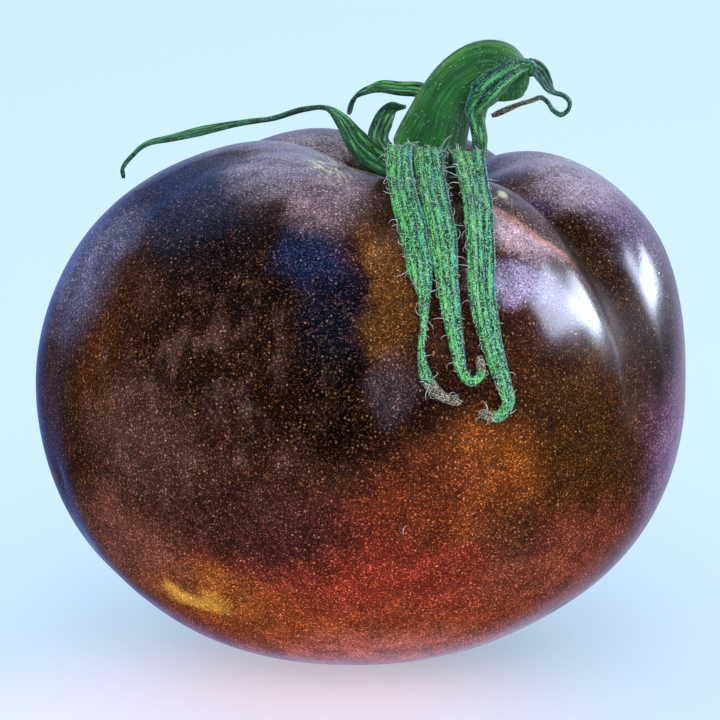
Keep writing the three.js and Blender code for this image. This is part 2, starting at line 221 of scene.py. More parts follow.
def store(piece: Piece, **values: np.ndarray | float) -> None:
    """Store attributes by name, one number a vertex, or one number for them all."""
    for name, numbers in values.items():
        attribute = piece.data.attributes.new(name, "FLOAT", "POINT")
        rows = np.broadcast_to(numbers, len(piece.data.vertices)).astype(np.float32)
        attribute.data.foreach_set("value", rows)


def new_sphere(name: str, segments: int, rings: int) -> Piece:
    """Add a unit sphere at the origin, alone selected, and name it."""
    bpy.ops.object.select_all(action="DESELECT")
    bpy.ops.mesh.primitive_uv_sphere_add(segments=segments, ring_count=rings, radius=1)
    piece = bpy.context.object
    piece.name = name
    return piece


def finish_piece(piece: Piece, material: bpy.types.Material) -> None:
    """Smooth a piece, dress it, and let it ride on the one body.

    Args:
        piece: The finished object.
        material: Its material.
    """
    select_only(piece)
    bpy.ops.object.shade_smooth()
    piece.data.materials.clear()
    piece.data.materials.append(material)
    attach(piece, BODY)
    LOG.info("%s: %d vertices", piece.name, len(piece.data.vertices))


# The shape of the skin


@dataclass(frozen=True)
class Furrow:
    """One furrow between two lobes: angles in degrees, depth in mm, and its fade below its peak."""

    angle: float
    depth: float
    width: float
    peak: float
    low: float


@dataclass(frozen=True)
class SkinShape:
    """Driving dimensions of the fruit's skin, in mm and degrees, as its solid has them.

    Each furrow's section is the sum of a narrow and a broad bell, given as share and width.
    """

    half_width: float = 39.7
    half_depth: float = 38.0
    top_height: float = 31.0
    low_height: float = 32.9
    centre_z: float = 32.4
    top_power: float = 2.45
    low_power: float = 2.09
    stem_x: float = 6.8
    stem_y: float = -0.5
    low_x: float = -0.8
    cavity_depth: float = 7.0
    cavity_width: float = 11.5
    lift_height: float = 3.2
    lift_angle: float = 175.0
    lift_peak: float = 40.0
    lift_out: float = 0.25
    fade: float = 1.6
    section: tuple[Pair, ...] = ((0.4, 0.42), (0.6, 1.35))
    furrows: tuple[Furrow, ...] = (
        Furrow(-36, 4.6, 14, 42, 5),
        Furrow(-93, 2.4, 14, 34, 1.6),
        Furrow(150, 3.0, 13, 30, 4),
        Furrow(98, 3.4, 13, 32, 4),
        Furrow(52, 3.0, 13, 32, 4),
        Furrow(-160, 0.7, 16, 80, 1.6),
        Furrow(8, 0.6, 16, 80, 1.6),
    )

    def run(self, polar: np.ndarray, peak: float, low: float) -> np.ndarray:
        """Return how strong a furrow is at each polar angle, 1 at its peak in degrees."""
        x = polar / math.radians(peak)
        power = np.where(x > 1, low, self.fade)
        return x ** power * np.exp(power * (1 - x))

    def point(self, polar: np.ndarray, angle: np.ndarray) -> np.ndarray:
        """Place points on the skin.

        Args:
            polar: Angle of each point from the stem end, in radians.
            angle: Angle of each point about the stem, in radians.

        Returns:
            Rows of x, y, z in mm.
        """
        s, c = np.sin(polar), np.cos(polar)
        above = c > 0
        power = np.where(above, self.top_power, self.low_power)
        reach = (np.abs(s) ** power + np.abs(c) ** power) ** (-1 / power)
        wide, deep = self.half_width * reach * s, self.half_depth * reach * s
        cut = np.zeros_like(polar)
        for furrow in self.furrows:
            x = turn_from(angle, furrow.angle) / furrow.width
            dip = sum(share * bell(x / width) for share, width in self.section)
            cut += furrow.depth * self.run(polar, furrow.peak, furrow.low) * dip
        turned = np.cos(angle - math.radians(self.lift_angle))
        lift = self.lift_height * (0.5 + 0.5 * turned) * self.run(polar, self.lift_peak, self.fade)
        inward = (cut - self.lift_out * lift) * s
        top, low = np.where(above, c * c, 0), np.where(above, 0, c * c)
        x = (wide - inward) * np.cos(angle) + self.stem_x * top + self.low_x * low
        y = (deep - inward) * np.sin(angle) + self.stem_y * top
        hollow = np.where(above, self.cavity_depth * bell((wide + deep) / 2 / self.cavity_width), 0)
        height = np.where(above, self.top_height, self.low_height) * reach * c
        z = self.centre_z + height - (cut - lift) * c - hollow
        return np.stack([x, y, z], -1)


# The finish of the skin


@dataclass(frozen=True)
class Patch:
    """A soft-edged patch of another colour on the skin: centre and radii in mm."""

    name: str
    centre: Triple
    radii: Triple
    colour: str
    strength: float


@dataclass(frozen=True)
class Specks:
    """Round specks: colour, mean distance apart in mm, radius as a share of it, and strength."""

    colour: str
    pitch: float
    radius: float
    strength: float


@dataclass(frozen=True)
class TomatoSkin:
    """Ripe tomato skin: a thin clear waxy cuticle over flesh coloured brown, red and indigo.

    The wax gives a soft bright gloss with a few pits in it. The colour under it lies in
    clouds, and some of its patches are painted light: sheen, highlight and reflection on the
    shoulders, lobes, rims and foot, and shade in the deep furrow, the stem hollow and under
    the sepals. Fine golden specks show all over, drawn coarser than life so that they show.
    Limits give a value's range, then the range that it is turned into.
    """

    base: str = "4c2718"
    # painted shade laid inside the deep furrow
    groove: str = "34200e"
    crest: str = "f4946c"
    specks: tuple[Specks, ...] = (Specks("d8843c", 0.19, 0.6, 0.3), Specks("ffc080", 0.5, 0.32, 0.4))
    speck_core: float = 0.25
    speck_power: float = 3.0
    speck_glow: float = 4.0
    speck_limits: Limits = (0.12, 0.4, 1.0, 0.3)
    floor_limits: Limits = (0.12, 0.4, 0.55, 0.85)
    edge: Grain = Grain(7.0, 5.0, 0.65)
    edge_shift: float = 7.2
    patch_limits: Pair = (1.25, 0.35)
    blotch: Grain = Grain(2.6, 3.0, 0.55)
    blotch_stretch: Triple = (1.0, 1.0, 0.55)
    blotch_limits: Pair = (0.46, 0.74)
    streak: Grain = Grain(1.0, 4.0, 0.6)
    streak_turn: float = -69.0
    streak_size: Triple = (2.4, 0.5, 0.5)
    streak_limits: Pair = (0.49, 0.57)
    mottle: Grain = Grain(0.22, 3.0, 0.7)
    mottle_limits: Limits = (0.3, 0.7, 0.35, 1.45)
    cloud: Grain = Grain(3.5, 4.0, 0.6)
    cloud_limits: Limits = (0.3, 0.7, 0.7, 1.3)
    wax: Grain = Grain(5.0, 4.0)
    wax_limits: Limits = (0.3, 0.7, 0.17, 0.25)
    wax_ior: float = 1.38
    dull_rough: float = 0.2
    dull_limits: Limits = (0.0, 1.0, 0.5, 0.05)
    pore: Grain = Grain(0.35, 2.0)
    pore_height: float = 0.35
    pit_pitch: float = 1.6
    pit_limits: Pair = (0.04, 0.16)
    bump_strength: float = 0.35
    bump_height: float = 0.05
    seep: float = 0.06
    seep_radius: Triple = (1.0, 0.35, 0.15)
    seep_depth: float = 1.5
    patches: tuple[Patch, ...] = (
        Patch("warm base", (0, 0, -5), (48, 48, 26), "8a3c22", 0.85),
        Patch("back haze", (2, 26, 56), (34, 22, 14), "4c3248", 0.7),
        Patch("back dark", (-6, 36, 34), (24, 14, 15), "1e0e0a", 0.75),
        Patch("red underside", (8, -30, 16), (36, 24, 15), "aa3a24", 0.97),
        Patch("orange foot", (0, -26, 5), (38, 26, 10), "b05428", 0.92),
        # Painted reflection: pale pink at the foot stands for the bright table mirrored and bounced onto the
        # orange skin.
        Patch("pink foot", (4, -24, 5), (18, 18, 6), "d87868", 0.9),
        Patch("gold lower left", (-20, -26, 15), (15, 14, 6), "b05e22", 0.9),
        Patch("gold patch", (-20, -26, 13.2), (4.8, 5, 2.0), "ffb444", 1.0),
        Patch("brown left", (-28, -23, 34), (15, 15, 16), "3a1c08", 0.95),
        Patch("rust left", (-29, -22, 42), (6, 9, 9), "6a3008", 0.8),
        Patch("plum lower left", (-28, -24, 20), (12, 12, 7), "8a4c3c", 0.9),
        Patch("olive right", (26, -27, 34), (17, 16, 13), "542b05", 0.95),
        Patch("amber right", (12, -35, 31), (9, 8, 8), "b45a1a", 0.92),
        Patch("red right", (22, -27, 18), (14, 12, 7), "9c4830", 0.9),
        # Partly the skin's own maroon, and partly painted reflection: the mauve glow along the right rim.
        Patch("maroon right", (37.5, -7, 30), (7.5, 17, 19), "9e6486", 0.88),
        Patch("dark left", (-15, -32, 45), (20, 20, 12), "28140e", 0.97),
        Patch("dark upper left", (-11, -27, 51), (8, 9, 6), "120a0a", 0.9),
        Patch("night band", (-17, -23, 55.5), (14, 8, 6), "0a0c18", 0.97),
        Patch("mauve smudge", (-26, -29, 33.5), (10, 10, 8), "7c5046", 0.5),
        Patch("dark lower left", (-12, -35, 24.5), (14, 10, 7), "442020", 0.85),
        Patch("dark centre", (-1, -38, 38.5), (14, 10, 7.5), "140602", 0.96),
        Patch("dark right of it", (-2.5, -35, 46.5), (6, 10, 6), "06070f", 0.96),
        Patch("olive smudge", (17, -33, 23), (5, 6, 5), "3a2c18", 0.6),
        Patch("indigo trail", (-3.5, -33, 50), (4.5, 9, 6.5), "0c1428", 0.95),
        Patch("indigo", (-6, -29.5, 55.3), (4.6, 9, 4.4), "182a50", 0.97),
        Patch("valley band", (3, -27, 55), (3.6, 9, 10), "925c30", 0.95),
        Patch("valley low", (2.8, -33, 48.5), (3.8, 6, 7), "7e4a1c", 0.9),
        # Painted sheen: the blue-grey, slate, lavender and pink on the left and top shoulders stand for the
        # grazing reflection of the pale room, over the skin's own indigo and waxy bloom.
        Patch("blue shoulder", (-22, -14, 59.5), (13, 14, 6.5), "222e48", 0.95),
        Patch("slate rim", (-36, -12, 53), (8, 16, 12), "8480a0", 0.88),
        Patch("lavender rim", (-29, -12, 55), (5, 7, 4), "7c7c98", 0.6),
        Patch("far shoulder", (-8, 4, 63), (12, 12, 5), "a898a0", 0.9),
        Patch("pale shoulder", (-9, -13, 62.3), (9, 10, 4.2), "a0909c", 0.93),
        Patch("pink shoulder", (-3.5, -21, 59.7), (6, 8, 4.5), "9c8088", 0.9),
        # Painted sheen: a soft lavender reflection on the front, right of the dark middle.
        Patch("lavender front", (3.5, -37, 41), (3.2, 5, 5), "5c4a50", 0.7),
        Patch("maroon front", (8, -37, 29), (9, 8, 7), "7e3218", 0.88),
        # Painted sheen and highlight: the lilac below the near crest, the lavender tail of the near lobe's
        # highlight and the pale lavender on the right lobes stand for soft light mirrored there.
        Patch("lilac crest", (18.5, -22.5, 57.2), (10.5, 6, 4.2), "ffd4dc", 0.98),
        Patch("bloom tail", (17.5, -29.5, 52), (6.5, 5, 3.0), "cdb8dc", 0.8),
        Patch("right lobe", (28, -2, 59), (11, 14, 7), "c4acbc", 0.92),
        Patch("purple spot", (20, -11.5, 57.6), (3.2, 3.4, 2.4), "6a5080", 0.75),
        Patch("mauve lobe", (33, -8, 54), (7, 12, 6), "8c7094", 0.85),
        Patch("furrow shade", (24.5, -13, 54.5), (6.5, 4.5, 4), "2e1810", 0.95),
        Patch("far right", (34, -14, 42), (8, 10, 10), "2c1804", 0.9),
        # Painted shade: the stem hollow is darkened where the calyx shades it.
        Patch("stem hollow", (7, -2, 57), (12, 15, 5), "20130c", 0.95),
        Patch("shade by sepals", (8, -24, 59), (9, 7, 6), "2a1a10", 0.85),
    )
    blotches: Patch = Patch("blotches", (-20, -31, 38.5), (20, 18, 15), "785048", 0.75)
    cork: Patch = Patch("corky streaks", (-3.2, -7, 62), (3.4, 12, 4), "f4e8b0", 0.95)
    scar: Patch = Patch("pale scar", (16.3, -17.8, 60.0), (0.7, 1.3, 0.8), "ece4b0", 1.0)

    def mask(self, tree: Tree, place: Node, patch: Patch) -> Node:
        """Return how much of a patch shows at each place."""
        away = radii_away(tree, place, patch.centre, patch.radii)
        limits = (*self.patch_limits, 0.0, patch.strength)
        return add_node(tree, RANGE, (away, *limits), label=patch.name, **SMOOTH)

    def ragged(self, tree: Tree, place: Node) -> Node:
        """Return places shifted by noise, so that the edges of patches are ragged."""
        cloud = add_node(tree, NOISE, self.edge.over(place)).outputs["Color"]
        centred = add_node(tree, VECTORS, (cloud, (0.5, 0.5, 0.5)), operation="SUBTRACT")
        shift = add_node(tree, VECTORS, (centred, self.edge_shift), operation="SCALE")
        return add_node(tree, VECTORS, (place, shift), operation="ADD")

    def make(self) -> bpy.types.Material:
        """Build the skin's material and return it."""
        material, tree, shader = new_material("tomato_skin_waxy")
        place = places_in_mm(tree)
        loose = self.ragged(tree, place)
        colour = linear(self.base)
        for patch in self.patches:
            shown = self.mask(tree, loose, patch)
            colour = add_node(tree, MIX, (shown, colour, linear(patch.colour)), **COLOUR)
        colour = self.add_blotches(tree, place, loose, colour)
        colour = self.add_streaks(tree, place, loose, colour)
        colour = self.add_crest(tree, colour)
        colour = self.add_mottle(tree, place, colour)
        colour = self.add_specks(tree, place, colour)
        scar = self.mask(tree, place, self.scar)
        colour = add_node(tree, MIX, (scar, colour, linear(self.scar.colour)), **COLOUR)
        feed(tree, shader, {"Base Color": colour, **self.gloss(tree, place)})
        return material

    def add_blotches(self, tree: Tree, place: Node, loose: Node, colour: Node) -> Node:
        """Lay pale blotches, taller than wide, over the dark side and return the colour."""
        tall = add_node(tree, VECTORS, (place, self.blotch_stretch), operation="MULTIPLY")
        cloud = add_node(tree, NOISE, self.blotch.over(tall))
        spots = add_node(tree, RANGE, (cloud, *self.blotch_limits), **SMOOTH)
        shown = add_node(tree, MATHS, (spots, self.mask(tree, loose, self.blotches)), operation="MULTIPLY")
        return add_node(tree, MIX, (shown, colour, linear(self.blotches.colour)), **COLOUR)

    def add_streaks(self, tree: Tree, place: Node, loose: Node, colour: Node) -> Node:
        """Lay thin corky streaks on the hollow's left rim and return the colour."""
        turn = (0, 0, math.radians(self.streak_turn))
        inputs = {"Vector": place, "Rotation": turn, "Scale": self.streak_size}
        turned = add_node(tree, "ShaderNodeMapping", inputs, vector_type="TEXTURE")
        cloud = add_node(tree, NOISE, self.streak.over(turned))
        lines = add_node(tree, RANGE, (cloud, *self.streak_limits), **SMOOTH)
        shown = add_node(tree, MATHS, (lines, self.mask(tree, loose, self.cork)), operation="MULTIPLY")
        return add_node(tree, MIX, (shown, colour, linear(self.cork.colour)), **COLOUR)

    def add_crest(self, tree: Tree, colour: Node) -> Node:
        """Darken the deep furrow with painted shade, draw the pink line along its near crest and return the
        colour.
        """
        for name, paint in (("groove", self.groove), ("crest", self.crest)):
            shown = add_node(tree, ATTRIBUTE, attribute_name=name).outputs["Fac"]
            colour = add_node(tree, MIX, (shown, colour, linear(paint)), **COLOUR)
        return colour

    def add_mottle(self, tree: Tree, place: Node, colour: Node) -> Node:
        """Break the colour into fine grains and wide clouds, light and dark, and return it."""
        for grain, limits in ((self.mottle, self.mottle_limits), (self.cloud, self.cloud_limits)):
            cloud = add_node(tree, NOISE, grain.over(place))
            shade = add_node(tree, RANGE, (cloud, *limits), **SMOOTH)
            colour = add_node(tree, MIX, (1.0, colour, shade), **TINT)
        return colour

    def add_specks(self, tree: Tree, place: Node, colour: Node) -> Node:
        """Cover the skin with fine golden specks and a few paler ones, and return the colour."""
        light = add_node(tree, "ShaderNodeRGBToBW", (colour,))
        quiet = add_node(tree, RANGE, (light, *self.speck_limits), **SMOOTH)
        floor = add_node(tree, RANGE, (light, *self.floor_limits), **SMOOTH)
        shown = tuple(add_node(tree, MATHS, (self.dots(tree, place, specks), quiet), operation="MULTIPLY")
                      for specks in self.specks)
        both = add_node(tree, MATHS, shown, operation="ADD")
        glow = add_node(tree, MATHS, (both, self.speck_glow), operation="MULTIPLY")
        boost = add_node(tree, MATHS, (glow, floor), operation="ADD")
        colour = add_node(tree, MIX, (1.0, colour, boost), **TINT)
        for specks, dots in zip(self.specks, shown):
            part = add_node(tree, MATHS, (dots, specks.strength), operation="MULTIPLY")
            colour = add_node(tree, MIX, (part, colour, linear(specks.colour)), **COLOUR)
        return colour

    def dots(self, tree: Tree, place: Node, specks: Specks) -> Node:
        """Return how strong the specks are at each place; strong ones are rarer than weak ones."""
        cells = add_node(tree, CELLS, (place, 1 / specks.pitch))
        chance = add_node(tree, "ShaderNodeSeparateColor", (cells.outputs["Color"],))
        strength = add_node(tree, MATHS, (chance, self.speck_power), operation="POWER")
        disc = add_node(tree, RANGE, (cells, specks.radius, specks.radius * self.speck_core), **SMOOTH)
        return add_node(tree, MATHS, (disc, strength), operation="MULTIPLY")

    def gloss(self, tree: Tree, place: Node) -> dict:
        """Return what feeds the shader for the wax's gloss, its fine pits and the light that seeps in."""
        cloud = add_node(tree, NOISE, self.wax.over(place))
        even = add_node(tree, RANGE, (cloud, *self.wax_limits), **SMOOTH)
        dull = add_node(tree, ATTRIBUTE, attribute_name="dull").outputs["Fac"]
        matt = add_node(tree, MATHS, (dull, self.dull_rough), operation="MULTIPLY")
        pores = add_node(tree, NOISE, self.pore.over(place))
        pits = add_node(tree, CELLS, (place, 1 / self.pit_pitch))
        holes = add_node(tree, RANGE, (pits, *self.pit_limits), **SMOOTH)
        low = add_node(tree, MATHS, (pores, self.pore_height), operation="MULTIPLY")
        height = add_node(tree, MATHS, (low, holes), operation="ADD")
        bump = {"Strength": self.bump_strength, "Distance": self.bump_height * MM, "Height": height}
        return {
            "Roughness": add_node(tree, MATHS, (even, matt), operation="ADD"),
            "Specular IOR Level": add_node(tree, RANGE, (dull, *self.dull_limits), **SMOOTH),
            "Normal": add_node(tree, "ShaderNodeBump", bump),
            "IOR": self.wax_ior,
            "Subsurface Weight": self.seep,
            "Subsurface Radius": self.seep_radius,
            "Subsurface Scale": self.seep_depth * MM,
        }


@dataclass
class Fruit:
    """The fruit: a fine mesh of the skin with its low lumps, swelling, dent and crease.

    The crest is a line of polar angles and angles about the stem, on the near side of the deep
    furrow. Reaches across give degrees beyond it, and reaches down give polar angles.
    """

    shape: SkinShape = SkinShape()
    finish: TomatoSkin = TomatoSkin()
    segments: int = 384
    rings: int = 200
    lump_pitch: float = 13.0
    lump_height: float = 0.22
    crest_polar: tuple[float, ...] = (34, 36.5, 39, 41.5, 44, 46, 47.5, 50, 56, 64, 72)
    crest_angle: tuple[float, ...] = (-68, -64, -61, -57.5, -54.5, -50.5, -47.5, -45.5, -44, -43, -41)
    crest_middle: float = 42.0
    crest_width: float = 2.1
    crest_length: float = 8.0
    crest_strength: float = 0.95
    crease_beyond: float = 2.5
    crease_width: float = 2.0
    crease_length: float = 7.0
    crease_depth: float = 0.35
    groove_across: Limits = (0, 3, 14, 30)
    groove_down: Limits = (24, 36, 58, 72)
    groove_strength: float = 0.85
    dull_across: Limits = (1, 4, 15, 19)
    dull_down: Limits = (30, 40, 78, 92)
    swell_centre: Triple = (17.0, -32.0, 46.0)
    swell_width: float = 8.0
    swell_height: float = 0.9
    dent_centre: Triple = (-37.5, -13.0, 24.5)
    dent_width: float = 1.6
    dent_depth: float = 0.35
    smooth_foot: Pair = (1.0, 5.0)

    def build(self) -> Piece:
        """Shape a sphere into the fruit, dress it and return it."""
        piece = new_sphere("fruit_skin", self.segments, self.rings)
        unit = coordinates(piece)
        polar = np.arccos(np.clip(unit[:, 2], -1, 1))
        angle = np.arctan2(unit[:, 1], unit[:, 0])
        places = self.shape.point(polar, angle)
        outward = unit_rows(places - np.array([0, 0, self.shape.centre_z]))
        places += outward * self.relief(places, polar, angle)[:, None]
        places[:, 2] = np.maximum(places[:, 2], 0)
        place_vertices(piece, places)
        crest, groove, dull = self.crest(polar, angle), self.groove(polar, angle), self.dull(polar, angle)
        store(piece, crest=crest, groove=groove, dull=dull)
        finish_piece(piece, self.finish.make())
        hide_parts("fruit")
        return piece

    def relief(self, places: np.ndarray, polar: np.ndarray, angle: np.ndarray) -> np.ndarray:
        """Return each point's small height over the plain shape, in mm."""
        lumps = np.array([noise.noise(Vector(p) / self.lump_pitch) for p in places]) * self.lump_height
        across = (self.beyond_crest(polar, angle) - self.crease_beyond) / self.crease_width
        down = (np.degrees(polar) - self.crest_middle) / self.crease_length
        crease = self.crease_depth * bell(across) * bell(down)
        dent = self.dent_depth * self.spot(places, self.dent_centre, self.dent_width)
        swell = self.swell_height * self.spot(places, self.swell_centre, self.swell_width)
        return (lumps + swell - crease - dent) * np.interp(places[:, 2], self.smooth_foot, (0, 1))

    def spot(self, places: np.ndarray, centre: Triple, width: float) -> np.ndarray:
        """Return 1 at a centre, falling smoothly over its width in mm."""
        return bell(np.linalg.norm(places - np.array(centre), axis=1) / width)

    def beyond_crest(self, polar: np.ndarray, angle: np.ndarray) -> np.ndarray:
        """Return each point's angle past the deep furrow's near crest, in degrees."""
        return turn_from(angle, np.interp(np.degrees(polar), self.crest_polar, self.crest_angle))

    def crest(self, polar: np.ndarray, angle: np.ndarray) -> np.ndarray:
        """Return how pink each point is, along the near crest of the deep furrow."""
        down = (np.degrees(polar) - self.crest_middle) / self.crest_length
        return self.crest_strength * bell(self.beyond_crest(polar, angle) / self.crest_width) * bell(down)

    def groove(self, polar: np.ndarray, angle: np.ndarray) -> np.ndarray:
        """Return how much painted shade darkens each point inside the deep furrow."""
        across = plateau(self.beyond_crest(polar, angle), self.groove_across)
        return self.groove_strength * across * plateau(np.degrees(polar), self.groove_down)

    def dull(self, polar: np.ndarray, angle: np.ndarray) -> np.ndarray:
        """Return how matt each point is, on the far side of the deep furrow."""
        across = plateau(self.beyond_crest(polar, angle), self.dull_across)
        return across * plateau(np.degrees(polar), self.dull_down)


# Calyx


class Aim(Enum):
    """What the direction at each place of a sepal means."""

    FACE = "face"
    ACROSS = "across"


@dataclass(frozen=True)
class Place:
    """One place along a sepal: centre in mm, full width in mm, fold in degrees, direction."""

    at: Triple
    wide: float
    fold: float
    way: Triple


@dataclass(frozen=True)
class Sepal:
    """One sepal's centre line, and how it looks.

    Attributes:
        name: Plain name of its place on the calyx.
        aim: What the places' directions mean.
        places: Places from its root to its tip.
        fuzz: How pale its hairs make it, 0 to 1.
        dry: Share of its length that has dried, at the tip.
        hair: Length of its longest hairs in mm.
    """

    name: str
    aim: Aim
    places: tuple[Place, ...]
    fuzz: float
    dry: float
    hair: float

    def points(self) -> np.ndarray:
        """Return its places' centres as rows, in mm."""
        return np.array([place.at for place in self.places], float)

    def reach(self) -> np.ndarray:
        """Return how far along it each place lies, in mm."""
        steps = np.linalg.norm(np.diff(self.points(), axis=0), axis=1)
        return np.append(0.0, np.cumsum(steps))


